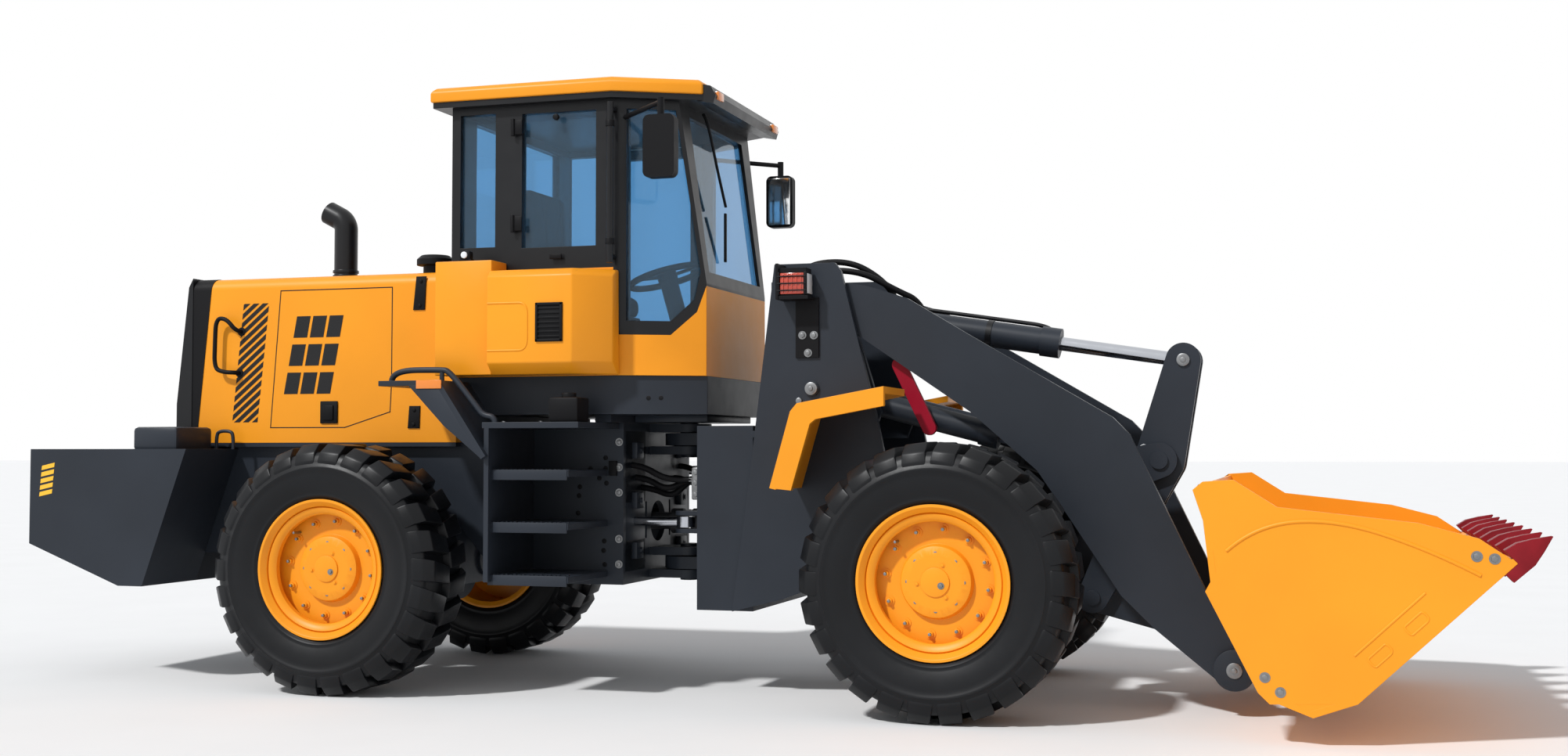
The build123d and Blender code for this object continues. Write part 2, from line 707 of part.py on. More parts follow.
def rear_axle():
    """Rear axle with the trunnions it rocks on."""
    shape = axle(REAR_AXLE_X)
    return shape + bar((REAR_AXLE_X - 345, 0, WHEEL_Z), (REAR_AXLE_X + 345, 0, WHEEL_Z), 90)


def counterweight():
    """Cast counterweight across the tail, with a towing jaw behind."""
    outline = [
        (COUNTERWEIGHT_END_X, 676),
        (COUNTERWEIGHT_END_X, COUNTERWEIGHT_TOP_Z),
        (-3745, COUNTERWEIGHT_TOP_Z),
        (-3990, COUNTERWEIGHT_BOTTOM_Z),
        (-4130, COUNTERWEIGHT_BOTTOM_Z),
    ]
    half = COUNTERWEIGHT_HALF_WIDTH
    shape = plate_xz(outline, -half, half)
    shape -= block(REAR_FRAME_END_X, -3600, -REAR_FRAME_FACE, REAR_FRAME_FACE, 400, 1300)
    slot = block(COUNTERWEIGHT_END_X - 1, COUNTERWEIGHT_END_X + 160, -120, 120, 800, 880)
    pin_hole = bar_z(COUNTERWEIGHT_END_X + 90, 0, 25, 700, COUNTERWEIGHT_TOP_Z + 1)
    return shape - slot - pin_hole


def engine():
    """Engine as one plain block on its feet."""
    inside = REAR_FRAME_FACE - REAR_FRAME_PLATE
    shape = block(-3850, -2850, -300, 300, 900, 1720)
    return shape + block(-3700, -3600, -inside, inside, 950, 1010) + block(-3050, -2950, -inside, inside, 950, 1010)


def transmission():
    """Gearbox block between the engine and the articulation."""
    inside = REAR_FRAME_FACE - REAR_FRAME_PLATE
    return block(-2520, -2100, -190, 190, 660, 1180) + block(-2420, -2320, -inside, inside, 1000, 1060)


# Hood
def hood():
    """Engine hood shell, open below and behind."""
    half = HOOD_HALF_WIDTH
    sheet = HOOD_SHEET
    low = REAR_FRAME_TOP_Z
    outer = block(HOOD_REAR_X, HOOD_FRONT_X, -half, half, low, HOOD_TOP_Z)
    outer = fillet(outer.edges().filter_by(Axis.X).group_by(Axis.Z)[-1], 60)
    inner = block(HOOD_REAR_X - 1, HOOD_FRONT_X - sheet, -half + sheet, half - sheet, low - 1, HOOD_TOP_Z - sheet)
    inner = fillet(inner.edges().filter_by(Axis.X).group_by(Axis.Z)[-1], 60 - sheet)
    return outer - inner


def rear_grille():
    """Black frame with level bars that closes the tail of the hood."""
    half = HOOD_HALF_WIDTH + 6
    outline = [
        (HOOD_REAR_X, REAR_FRAME_TOP_Z),
        (HOOD_REAR_X, HOOD_TOP_Z + 6),
        (HOOD_REAR_X - 25, HOOD_TOP_Z - 40),
        (HOOD_REAR_X - 90, 1381),
        (HOOD_REAR_X - 90, REAR_FRAME_TOP_Z),
    ]
    shape = plate_xz(outline, -half, half)
    shape -= block(HOOD_REAR_X - 200, HOOD_REAR_X + 1, -half + 70, half - 70, REAR_FRAME_TOP_Z + 70, HOOD_TOP_Z - 90)
    count = 9
    pitch = (HOOD_TOP_Z - REAR_FRAME_TOP_Z - 160) / (count + 1)
    for index in range(count):
        z = REAR_FRAME_TOP_Z + 70 + (index + 1) * pitch
        shape += block(HOOD_REAR_X - 18, HOOD_REAR_X - 4, -half + 65, half - 65, z - 14, z + 14)
    return shape


def exhaust():
    """Upright stack with its tip bent back."""
    x = -3345
    y = -100
    shape = bar_z(x, y, 80, HOOD_TOP_Z, HOOD_TOP_Z + 25)
    path = FilletPolyline((x, y, HOOD_TOP_Z + 20), (x, y, 2345), (x - 105, y, 2400), radius=70)
    shape += sweep(Plane(origin=path @ 0, z_dir=path % 0) * Circle(60), path=path)
    return shape


def precleaner():
    """Air precleaner with a mushroom cap."""
    x = -2680
    y = -350
    profile = [(0, 0), (60, 0), (60, 40), (92, 45), (92, 75), (70, 95), (0, 100)]
    shape = revolve(Plane.XZ * Polygon(*profile, align=None), axis=Axis.Z)
    return Pos(x, y, HOOD_TOP_Z) * shape


# Cab
def cab_volume(inset):
    """Cab body with tapered front corners and a raked front, drawn in by an inset."""
    plan = [
        (CAB_REAR_X, CAB_HALF_WIDTH),
        (CAB_TAPER_X, CAB_HALF_WIDTH),
        (CAB_FRONT_X, CAB_FRONT_HALF_WIDTH),
        (CAB_FRONT_X, -CAB_FRONT_HALF_WIDTH),
        (CAB_TAPER_X, -CAB_HALF_WIDTH),
        (CAB_REAR_X, -CAB_HALF_WIDTH),
    ]
    face = Polygon(*plan, align=None)
    if inset:
        face = offset(face, -inset, kind=Kind.INTERSECTION)
    tall = extrude(Plane.XY.offset(CAB_FLOOR_Z) * face, amount=CAB_TOP_Z - CAB_FLOOR_Z, dir=(0, 0, 1))
    outline = [
        (CAB_REAR_X + inset, CAB_FLOOR_Z),
        (CAB_FRONT_X - inset, CAB_FLOOR_Z),
        (CAB_FRONT_X - inset, 1930),
        (CAB_FRONT_X - CAB_RAKE - inset, CAB_TOP_Z),
        (CAB_REAR_X + inset, CAB_TOP_Z),
    ]
    return tall & plate_xz(outline, -2 * CAB_HALF_WIDTH, 2 * CAB_HALF_WIDTH)


def cab_windows():
    """Cutters for every fixed window of the cab."""
    wide = CAB_HALF_WIDTH + 50
    rear_side = [(-2385, 2110), (-2385, 2750), (-2200, 2750), (-2200, 2110)]
    front_side = [(-1535, 1745), (-1535, 2740), (-1330, 2740), (-1225, 1980), (-1250, 1850), (-1350, 1745)]
    sash = [(-2060, 2100), (-2060, 2740), (-1680, 2740), (-1680, 2100)]
    near = CAB_FRONT_HALF_WIDTH - 60
    cutters = []
    for outline in (rear_side, front_side):
        cutters.append(plate_xz(outline, near, wide))
        cutters.append(plate_xz(outline, -wide, -near))
    cutters.append(plate_xz(sash, -wide, -near))
    cutters.append(block(CAB_FRONT_X - 200, CAB_FRONT_X + 50, -390, 390, 1985, 2730))
    cutters.append(block(CAB_REAR_X - 50, CAB_REAR_X + 100, -480, 480, 2110, 2740))
    return cutters


def door_outline(gap):
    """Door outline, side view, drawn in by a gap."""
    return [
        (DOOR_REAR_X + gap, DOOR_BOTTOM_Z + gap),
        (DOOR_REAR_X + gap, DOOR_TOP_Z - gap),
        (DOOR_FRONT_X - gap, DOOR_TOP_Z - gap),
        (DOOR_FRONT_X - gap, DOOR_BOTTOM_Z + gap),
    ]


def cab_shell():
    """Hollow cab with its windows and its door opening cut."""
    shell = cab_volume(0) - cab_volume(CAB_WALL)
    for cutter in cab_windows():
        shell -= cutter
    return shell - plate_xz(door_outline(0), CAB_HALF_WIDTH - CAB_WALL - 20, CAB_HALF_WIDTH + 20)


def cab_lower_region():
    """Everything below the line where the painted lower body meets the pillars."""
    line = [
        (-2600, 1400),
        (-2600, 1995),
        (-1590, 1995),
        (-1590, 1680),
        (-1350, 1680),
        (-1240, 1790),
        (-1190, 1945),
        (-900, 1945),
        (-900, 1400),
    ]
    return plate_xz(line, -1000, 1000)


def cab_floor():
    """Floor pan and the box under the cab."""
    plan = [
        (CAB_REAR_X, CAB_HALF_WIDTH - 15),
        (CAB_TAPER_X, CAB_HALF_WIDTH - 15),
        (CAB_FRONT_X, CAB_FRONT_HALF_WIDTH - 15),
        (CAB_FRONT_X, -CAB_FRONT_HALF_WIDTH + 15),
        (CAB_TAPER_X, -CAB_HALF_WIDTH + 15),
        (CAB_REAR_X, -CAB_HALF_WIDTH + 15),
    ]
    return plate_xy(plan, UNDERCAB_BOTTOM_Z, CAB_FLOOR_Z)


def cab_glass():
    """Fixed panes, each seated in its opening."""
    skin = cab_volume(CAB_GLASS_INSET) - cab_volume(CAB_GLASS_INSET + CAB_GLASS)
    return [skin & cutter for cutter in cab_windows()]


def cab_roof():
    """Roof panel with an overhang all round and a drooping visor."""
    lap = ROOF_OVERHANG
    plan = [
        (CAB_REAR_X - 90, CAB_HALF_WIDTH + lap),
        (CAB_TAPER_X, CAB_HALF_WIDTH + lap),
        (CAB_FRONT_X, CAB_FRONT_HALF_WIDTH + lap),
        (CAB_FRONT_X, -CAB_FRONT_HALF_WIDTH - lap),
        (CAB_TAPER_X, -CAB_HALF_WIDTH - lap),
        (CAB_REAR_X - 90, -CAB_HALF_WIDTH - lap),
    ]
    roof = plate_xy(plan, CAB_TOP_Z, CAB_TOP_Z + ROOF_THICKNESS)
    return chamfer(roof.faces().sort_by(Axis.Z)[-1].edges(), 22)


def cab_visor():
    """Drooping visor in front of the roof."""
    top = CAB_TOP_Z + ROOF_THICKNESS - 24
    outline = [
        (CAB_FRONT_X, top),
        (CAB_FRONT_X + 40, top - 10),
        (CAB_FRONT_X + 190, top - 170),
        (CAB_FRONT_X + 175, top - 205),
        (CAB_FRONT_X + 150, top - 205),
        (CAB_FRONT_X, CAB_TOP_Z - 10),
    ]
    return plate_xz(outline, -CAB_FRONT_HALF_WIDTH - 50, CAB_FRONT_HALF_WIDTH + 50)


def door_knuckle(z):
    """Door half of a hinge: a bored knuckle on a leaf that laps the door."""
    x, y = DOOR_HINGE
    half = HINGE_HALF_HEIGHT
    shape = bar_z(x, y, HINGE_RADIUS, z - half, z + half)
    shape += block(DOOR_REAR_X + DOOR_GAP, DOOR_REAR_X + 70, CAB_HALF_WIDTH, y - 6, z - half, z + half)
    return shape - bar_z(x, y, HINGE_PIN_RADIUS + PIN_PLAY, z - half - 1, z + half + 1)


def frame_knuckle(z):
    """Cab half of a hinge: a pin held above and below the door's knuckle."""
    x, y = DOOR_HINGE
    near = HINGE_HALF_HEIGHT + 2
    far = near + 30
    shape = bar_z(x, y, HINGE_PIN_RADIUS, z - far, z + far)
    for low in (z - far, z + near):
        shape += bar_z(x, y, HINGE_RADIUS, low, low + 30)
        shape += block(x - 60, x, CAB_HALF_WIDTH, y - 6, low, low + 30)
    return shape


def door():
    """Left door: a frame as thick as the wall with its window cut."""
    wall = plate_xz(door_outline(DOOR_GAP), CAB_HALF_WIDTH - CAB_WALL, CAB_HALF_WIDTH)
    shape = wall - door_window()
    for z in HINGE_HEIGHTS:
        shape += door_knuckle(z)
    return shape


def door_window():
    """Cutter for the door's window."""
    outline = [(-2050, 1760), (-2050, 2720), (-1670, 2720), (-1670, 1760)]
    return plate_xz(outline, CAB_HALF_WIDTH - 100, CAB_HALF_WIDTH + 50)


def door_glass():
    """Pane in the door."""
    y_high = CAB_HALF_WIDTH - CAB_GLASS_INSET
    pane = block(-2200, -1500, y_high - CAB_GLASS, y_high, 1600, 2800)
    return pane & door_window()


def seat():
    """Driver's seat on its pedestal."""
    shape = block(-2200, -1900, -150, 150, CAB_FLOOR_Z, 1800)
    shape += block(-2280, -1780, -240, 240, 1800, 1930)
    back = [(-2280, 1900), (-2160, 1900), (-2230, 2480), (-2330, 2480)]
    return shape + plate_xz(back, -220, 220)


def steering_column():
    """Column with a tilted steering wheel."""
    foot = (-1420, 0, CAB_FLOOR_Z)
    head = (-1570, 0, 2010)
    shape = bar(foot, head, 45) - block(-1600, -1200, -100, 100, CAB_FLOOR_Z - 100, CAB_FLOOR_Z)
    plane = Plane(origin=head, z_dir=Vector(*head) - Vector(*foot))
    shape += plane * Torus(190, 16)
    shape += plane * Cylinder(50, 40)
    for index in range(3):
        spoke = Rot(0, 0, 120 * index) * Pos(95, 0, 0) * Box(190, 26, 12)
        shape += plane * spoke
    return shape


def side_box():
    """Painted box beside the cab with a chamfered front, left side."""
    plan = [
        (CAB_REAR_X, CAB_HALF_WIDTH + SEAT_PLAY),
        (CAB_REAR_X, SIDE_BOX_FACE),
        (-1711, SIDE_BOX_FACE),
        (-1560, 720),
        (-1560, CAB_HALF_WIDTH + SEAT_PLAY),
    ]
    return plan


def side_box_right():
    """Full box on the right side."""
    shape = plate_xy(side_box(), SIDE_BOX_BOTTOM_Z, SIDE_BOX_TOP_Z)
    return other_side(shape)


def side_box_left():
    """Short box on the left side, behind the door."""
    shape = block(CAB_REAR_X, DOOR_REAR_X - 60, CAB_HALF_WIDTH + SEAT_PLAY, SIDE_BOX_FACE, SIDE_BOX_BOTTOM_Z, SIDE_BOX_TOP_Z)
    return shape


def rear_step():
    """Mudguard in front of the rear wheel with the ladder below the cab, left side."""
    guard = [(-2640, 1440), (-2340, 1440), (-2110, 1100), (-2085, 1115), (-2325, 1465), (-2640, 1465)]
    shape = plate_xz(guard, CAB_HALF_WIDTH + 10, 960)
    shape += block(-2120, -1640, REAR_FRAME_FACE, 930, 1242, 1270)
    shape += block(-2110, -2085, REAR_FRAME_FACE, 930, 540, 1270)
    for z in (540, 780, 1020):
        shape += block(-2110, -1700, REAR_FRAME_FACE, 900, z, z + 30)
    return shape


def mirror_pod():
    """Rear-view mirror on its arm, left side."""
    shape = block(-1330, -1180, 880, 935, 2358, 2641)
    shape = fillet(shape.edges().filter_by(Axis.Y), 30)
    arm_start = (-1557, 610, 2700)
    shape += bar(arm_start, (-1255, 905, 2700), 12)
    shape += bar((-1255, 905, 2720), (-1255, 905, 2600), 16)
    return shape - cab_volume(0)


def handrail():
    """Upright grab rail beside the cab, left side."""
    x = -1585
    y = CAB_HALF_WIDTH + 55
    shape = bar_z(x, y, 16, 2010, 2760)
    for z in (2040, 2730):
        shape += bar((x, CAB_HALF_WIDTH, z), (x, y, z), 12)
    return shape


def rear_lamps():
    """Tail lamp on the counterweight, left side."""
    return block(COUNTERWEIGHT_END_X - 30, COUNTERWEIGHT_END_X, 560, 760, 1000, 1080)


def as_node(shapes):
    """One shape, or a compound of shapes that don't touch."""
    if isinstance(shapes, list):
        return Compound(shapes)
    return shapes


def wheel_places():
    """Names and places of the four wheels."""
    half = TRACK / 2
    return {
        "front_left": (0, half),
        "front_right": (0, -half),
        "rear_left": (REAR_AXLE_X, half),
        "rear_right": (REAR_AXLE_X, -half),
    }


def build():
    """Every node of the loader, before it is moved to its own frame."""
    shell = cab_shell()
    region = cab_lower_region()
    nodes = {
        "rear_frame": rear_frame(),
        "counterweight": counterweight(),
        "rear_axle": rear_axle(),
        "engine": engine(),
        "transmission": transmission(),
        "hood": hood(),
        "rear_grille": rear_grille(),
        "exhaust": exhaust(),
        "precleaner": precleaner(),
        "cab_floor": cab_floor(),
        "cab_lower": (shell & region) + frame_knuckle(HINGE_HEIGHTS[0]),
        "cab_frame": (shell - region) + frame_knuckle(HINGE_HEIGHTS[1]),
        "cab_roof": cab_roof(),
        "cab_visor": cab_visor(),
        "cab_glass": cab_glass(),
        "seat": seat(),
        "steering_column": steering_column(),
        "side_boxes": [side_box_right(), side_box_left()],
        "rear_steps": pair(rear_step()),
        "mirrors": pair(mirror_pod()),
        "handrails": pair(handrail()),
        "rear_lamps": pair(rear_lamps()),
        "front_frame": front_frame(),
        "front_axle": axle(0),
        "front_fenders": pair(front_fender()),
        "work_lamps": pair(work_lamp()),
        "boom": boom(),
        "safety_strut": safety_strut(),
        "bellcrank": bellcrank(),
        "bucket_link": bucket_link(),
        "bucket": bucket(),
        "bucket_teeth": bucket_teeth(),
        "tilt_barrel": tilt_barrel(),
        "tilt_rod": tilt_rod(),
        "lift_barrels": pair(lift_barrel()),
        "lift_rods": pair(lift_rod()),
        "steer_barrel_left": steer_barrel(),
        "steer_rod_left": steer_rod(),
        "steer_barrel_right": other_side(steer_barrel()),
        "steer_rod_right": other_side(steer_rod()),
        "door": door(),
        "door_glass": door_glass(),
    }
    left_tyre = tyre()
    left_rim = rim()
    for name, (x, y) in wheel_places().items():
        turned = left_rim if y > 0 else other_side(left_rim)
        nodes["rim_" + name] = Pos(x, y, WHEEL_Z) * turned
        nodes["tyre_" + name] = Pos(x, y, WHEEL_Z) * left_tyre
    return {name: as_node(shape) for name, shape in nodes.items()}


def mid_length(nodes):
    """How far the middle of the machine's length lies from the front axle."""
    boxes = [shape.bounding_box() for shape in nodes.values()]
    return (min(box.min.X for box in boxes) + max(box.max.X for box in boxes)) / 2


NODES = build()
FRONT_AXLE_X = -mid_length(NODES)

os.makedirs("parts", exist_ok=True)
for node_name, node_shape in NODES.items():
    export_step(Pos(FRONT_AXLE_X, 0, 0) * node_shape, "parts/" + node_name + ".step")
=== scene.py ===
"""Finishes the wheel loader: paint, rubber, glass and the small fittings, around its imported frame."""

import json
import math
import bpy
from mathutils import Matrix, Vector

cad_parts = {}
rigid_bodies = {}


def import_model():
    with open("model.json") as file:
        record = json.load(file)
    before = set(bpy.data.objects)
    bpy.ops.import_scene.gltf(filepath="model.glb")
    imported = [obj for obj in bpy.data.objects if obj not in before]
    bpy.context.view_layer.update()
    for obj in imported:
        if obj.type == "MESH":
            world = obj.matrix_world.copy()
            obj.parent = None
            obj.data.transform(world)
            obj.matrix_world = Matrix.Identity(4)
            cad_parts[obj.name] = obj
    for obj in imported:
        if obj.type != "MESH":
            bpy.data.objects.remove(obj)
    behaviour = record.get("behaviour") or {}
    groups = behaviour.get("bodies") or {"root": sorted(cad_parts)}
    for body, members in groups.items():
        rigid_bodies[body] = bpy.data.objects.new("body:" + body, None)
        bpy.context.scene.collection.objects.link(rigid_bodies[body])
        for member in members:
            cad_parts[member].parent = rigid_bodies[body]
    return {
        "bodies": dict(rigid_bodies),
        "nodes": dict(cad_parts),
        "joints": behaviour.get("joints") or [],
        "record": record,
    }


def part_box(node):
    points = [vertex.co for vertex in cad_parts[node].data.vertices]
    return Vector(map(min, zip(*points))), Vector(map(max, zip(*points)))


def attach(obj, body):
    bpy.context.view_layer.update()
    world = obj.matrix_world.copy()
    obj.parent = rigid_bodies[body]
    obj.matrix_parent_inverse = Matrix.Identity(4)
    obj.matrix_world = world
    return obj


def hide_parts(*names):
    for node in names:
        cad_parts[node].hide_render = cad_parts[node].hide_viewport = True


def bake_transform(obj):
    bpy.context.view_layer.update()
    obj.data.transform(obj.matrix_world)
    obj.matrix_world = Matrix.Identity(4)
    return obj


bl_info = {
    "name": "Wheel loader finish",
    "version": (1, 0, 0),
    "blender": (4, 5, 0),
    "location": "View3D > Sidebar > Loader",
    "description": "Models and paints the wheel loader's visible pieces around its frame",
    "category": "Object",
}

import bmesh
import bpy
from bpy.props import FloatProperty, FloatVectorProperty, IntProperty, PointerProperty
from mathutils import Matrix, Vector

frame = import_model()

# Places of the loader, from its frame
RIM_LOW, RIM_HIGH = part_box("rim_front_left")
FRONT_AXLE = 0.5 * (RIM_LOW[0] + RIM_HIGH[0])
SLOTS = {part["node"]: part["material_slot"] for part in frame["record"]["subparts"]}
PINS = {joint["name"]: joint["pos_m"] for joint in frame["joints"] if "pos_m" in joint}


def side_face(node):
    """Outer side face of a node, in whole millimetres from the middle."""
    return round(1000.0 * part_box(node)[1][1])


def pin(joint):
    """Pin of a joint, in whole millimetres from the front axle's middle on the floor."""
    x, y, z = PINS[joint]
    return Vector([round(1000.0 * value) for value in (x - FRONT_AXLE, y, z)])


# Directions
SIDES = (-1, 1)
UP = (0.0, 0.0, 1.0)
FORWARD = (1.0, 0.0, 0.0)
BACK = (-1.0, 0.0, 0.0)
RIGHT = (0.0, -1.0, 0.0)

# Side faces and pins, in millimetres from the front axle's middle on the floor
HOOD_FACE = side_face("hood")
TOWER_FACE = side_face("front_frame")
BOX_FACE = side_face("side_boxes")
TAIL_FACE = side_face("counterweight")
BUCKET_FACE = side_face("bucket")
FRAME_FACE = 450
BOX_BACK = 651
BOX_FOOT = 1493
RAIL_SIDE = 905
BUCKET_HEEL = (1666.0, 175.0)
BUCKET_TURN = math.radians(43.6)
BUCKET_PIN = pin("bucket_tilt")
CRANK_PIN = pin("bellcrank_turn")
TILT_FOOT = pin("tilt_barrel_turn")
TILT_HEAD = Vector((960.0, 0.0, 1548.0))
TOW_PIN = -4574
EXHAUST = (-3345, -100)
SHAFT_HEIGHT = 790
STEP_HEIGHTS = (570, 810, 1050)
TEETH = 8
TOOTH_PITCH = 310

# Tyre, in metres
LUG_TIP = 0.589
LUG_SHARE = 0.46

# Camera, in metres and degrees, and the way that the sun shines
CAMERA_PLACE = (2.674, -7.985, 1.144)
CAMERA_TURN = (92.40, 0.06, 17.14)
SUN_WAY = Vector((0.36, 0.66, -0.74))

# Pieces with their own form, or left as they are
OWN_FORM = ("seat", "bucket_teeth", "cab_glass", "door_glass", "cab_visor", "side_boxes")

# Edge rounding of the softened pieces, in millimetres
EDGE = {
    "counterweight": 9.0,
    "hood": 3.0,
    "cab_roof": 9.0,
    "cab_frame": 4.0,
    "cab_lower": 4.0,
    "mirrors": 7.0,
    "front_fenders": 4.0,
    "bucket": 3.0,
    "exhaust": 0.0,
    "steering_column": 0.0,
}


def colour(name, value):
    """A colour that the sidebar shows."""
    return FloatVectorProperty(
        name=name,
        description=f"{name}, linear",
        default=value,
        size=3,
        subtype="COLOR",
        min=0.0,
        max=1.0,
    )


class LoaderPaint(bpy.types.PropertyGroup):
    """Colours of the loader's finishes."""

    yellow: colour("Body yellow", (0.90, 0.33, 0.012))
    slate: colour("Frame slate", (0.020, 0.025, 0.034))
    black: colour("Cab black", (0.005, 0.0055, 0.007))
    plastic: colour("Black plastic", (0.006, 0.006, 0.007))
    rubber: colour("Tyre rubber", (0.0060, 0.0066, 0.0080))
    # Window glass colour: partly the glass's own blue tint, partly painted sky, the blue of the sky seen
    # through and reflected in the panes
    glass: colour("Window glass", (0.30, 0.54, 0.76))
    iron: colour("Engine iron", (0.030, 0.032, 0.035))
    cover: colour("Seat cover", (0.030, 0.031, 0.034))
    lens: colour("Red lens", (0.50, 0.040, 0.012))
    strut: colour("Safety strut", (0.30, 0.004, 0.020))
    teeth: colour("Bucket teeth", (0.22, 0.010, 0.016))
    chrome: colour("Rod chrome", (0.50, 0.52, 0.56))
    zinc: colour("Zinc plate", (0.24, 0.245, 0.25))
    stripe: colour("Warning stripe", (0.95, 0.52, 0.03))


class LoaderSizes(bpy.types.PropertyGroup):
    """Sizes of the small pieces."""

    edge: FloatProperty(name="Plate edge", description="Rounding of plate edges in mm", default=2.5, min=0.0)
    lug_edge: FloatProperty(name="Lug edge", description="Rounding of a tyre lug in mm", default=7.0, min=0.0)
    lugs: IntProperty(name="Lugs", description="Lugs in one row of a tyre", default=26, min=3)
    studs: IntProperty(name="Wheel studs", description="Studs on a wheel's disc", default=12, min=3)
    seam: FloatProperty(name="Seam", description="Width of a panel seam in mm", default=5.0, min=0.5)
    hose: FloatProperty(name="Hose", description="Radius of a hose in mm", default=15.0, min=2.0)


class LoaderStage(bpy.types.PropertyGroup):
    """Light and camera."""

    sun: FloatProperty(name="Sun", description="Strength of the sun", default=2.6, min=0.0)
    sky: FloatProperty(name="Sky", description="Strength of the sky", default=0.45, min=0.0)
    lens: FloatProperty(name="Lens", description="Focal length", default=39.14, subtype="DISTANCE_CAMERA")


# Finishes
def set_inputs(node, values):
    """Set a node's inputs by their names."""
    for name, value in values.items():
        node.inputs[name].default_value = value


def new_tree(name):
    """Node tree of a new finish."""
    material = bpy.data.materials.new(f"loader_{name}")
    material.use_nodes = True
    return material.node_tree


def noise(tree, scale, detail):
    """Add a noise over the object's own coordinates, and give its strength."""
    where = tree.nodes.new("ShaderNodeTexCoord").outputs["Object"]
    pattern = tree.nodes.new("ShaderNodeTexNoise")
    set_inputs(pattern, {"Scale": scale, "Detail": detail})
    tree.links.new(where, pattern.inputs["Vector"])
    return pattern.outputs["Fac"]


def finish(name, base, rough, metal=0.0, spread=0.06, patch=1.6, grain=0.0, grain_size=300.0, coat=0.0,
           shine=0.5):
    """Make a finish whose colour and gloss drift over the surface, with a fine grain in it."""
    tree = new_tree(name)
    nodes = tree.nodes
    links = tree.links
    shader = nodes["Principled BSDF"]
    set_inputs(shader, {"Metallic": metal, "Specular IOR Level": shine})
    set_inputs(shader, {"Coat Weight": coat, "Coat Roughness": 0.12})
    shade = nodes.new("ShaderNodeValToRGB")
    shade.color_ramp.elements[0].position = 0.32
    shade.color_ramp.elements[0].color = (*[channel * (1.0 - spread) for channel in base], 1.0)
    shade.color_ramp.elements[1].position = 0.68
    shade.color_ramp.elements[1].color = (*[min(channel * (1.0 + spread), 1.0) for channel in base], 1.0)
    links.new(noise(tree, patch, 6.0), shade.inputs["Fac"])
    links.new(shade.outputs["Color"], shader.inputs["Base Color"])
    gloss = nodes.new("ShaderNodeMapRange")
    set_inputs(gloss, {"To Min": max(rough - 0.08, 0.02), "To Max": rough + 0.08})
    links.new(noise(tree, 9.0 * patch, 4.0), gloss.inputs["Value"])
    links.new(gloss.outputs["Result"], shader.inputs["Roughness"])
    if grain:
        bump = nodes.new("ShaderNodeBump")
        set_inputs(bump, {"Strength": grain, "Distance": 0.001})
        links.new(noise(tree, grain_size, 3.0), bump.inputs["Height"])
        links.new(bump.outputs["Normal"], shader.inputs["Normal"])


def clear_finish(name, base, rough):
    """Make a clear, tinted finish."""
    shader = new_tree(name).nodes["Principled BSDF"]
    set_inputs(shader, {"Base Color": (*base, 1.0), "Roughness": rough})
    set_inputs(shader, {"IOR": 1.35, "Transmission Weight": 0.94})


def finish_of(name):
    """A finish that has been made."""
    return bpy.data.materials[f"loader_{name}"]


# Forms
def place(x, y, z):
    """Turn millimetres from the front axle's middle into the frame's metres."""
    return Vector((0.001 * x + FRONT_AXLE, 0.001 * y, 0.001 * z))


def forms(count):
    """Empty forms to build on."""
    return [bmesh.new() for index in range(count)]


def facing(axis):
    """Turn that takes the upright to an axis."""
    return Vector(axis).to_track_quat("Z", "Y").to_matrix().to_4x4()


def round_off(form, edges, width, segments=2):
    """Round some edges, width in millimetres."""
    bmesh.ops.bevel(
        form,
        geom=edges,
        offset=0.001 * width,
        offset_type="OFFSET",
        segments=segments,
        profile=0.5,
        affect="EDGES",
        clamp_overlap=True,
        material=-1,
    )


def edges_among(form, verts):
    """Edges whose two ends are both among some vertices."""
    chosen = set(verts)
    return [edge for edge in form.edges if edge.verts[0] in chosen and edge.verts[1] in chosen]


def sharp_edges(form, angle):
    """Edges whose two faces turn by more than an angle in degrees."""
    limit = math.radians(angle)
    return [edge for edge in form.edges if edge.is_manifold and edge.calc_face_angle(0.0) > limit]


def extrude(form, faces, move):
    """Extrude faces by a move, and give the vertices that moved."""
    raised = bmesh.ops.extrude_face_region(form, geom=faces)["geom"]
    moved = [item for item in raised if isinstance(item, bmesh.types.BMVert)]
    bmesh.ops.translate(form, verts=moved, vec=move)
    return moved


def turned(form, outline, steps):
    """Spin a closed outline (radius, across) in millimetres all round the y axis."""
    verts = [form.verts.new((0.0, 0.001 * across, 0.001 * radius)) for radius, across in outline]
    edges = [form.edges.new((verts[index - 1], verts[index])) for index in range(len(verts))]
    bmesh.ops.spin(
        form,
        geom=verts + edges,
        cent=(0.0, 0.0, 0.0),
        axis=(0.0, 1.0, 0.0),
        angle=2.0 * math.pi,
        steps=steps,
        use_merge=True,
    )
    bmesh.ops.remove_doubles(form, verts=form.verts[:], dist=0.00002)


def join(form, extra):
    """Put a form into another one."""
    mesh = bpy.data.meshes.new("extra")
    extra.to_mesh(mesh)
    extra.free()
    form.from_mesh(mesh)
    bpy.data.meshes.remove(mesh)


def circle(count, radius, start=0.0):
    """Places spaced evenly round a circle."""
    turns = [2.0 * math.pi * (index + start) / count for index in range(count)]
    return [(radius * math.sin(turn), radius * math.cos(turn)) for turn in turns]


def slab(form, low, high, edge=4.0):
    """Add a block between two corners, with rounded edges."""
    start = place(*low)
    end = place(*high)
    size = Vector([abs(step) for step in end - start])
    matrix = Matrix.Translation(0.5 * (start + end)) @ Matrix.Diagonal((*size, 1.0))
    made = bmesh.ops.create_cube(form, size=1.0, matrix=matrix)["verts"]
    if edge:
        round_off(form, edges_among(form, made), edge)


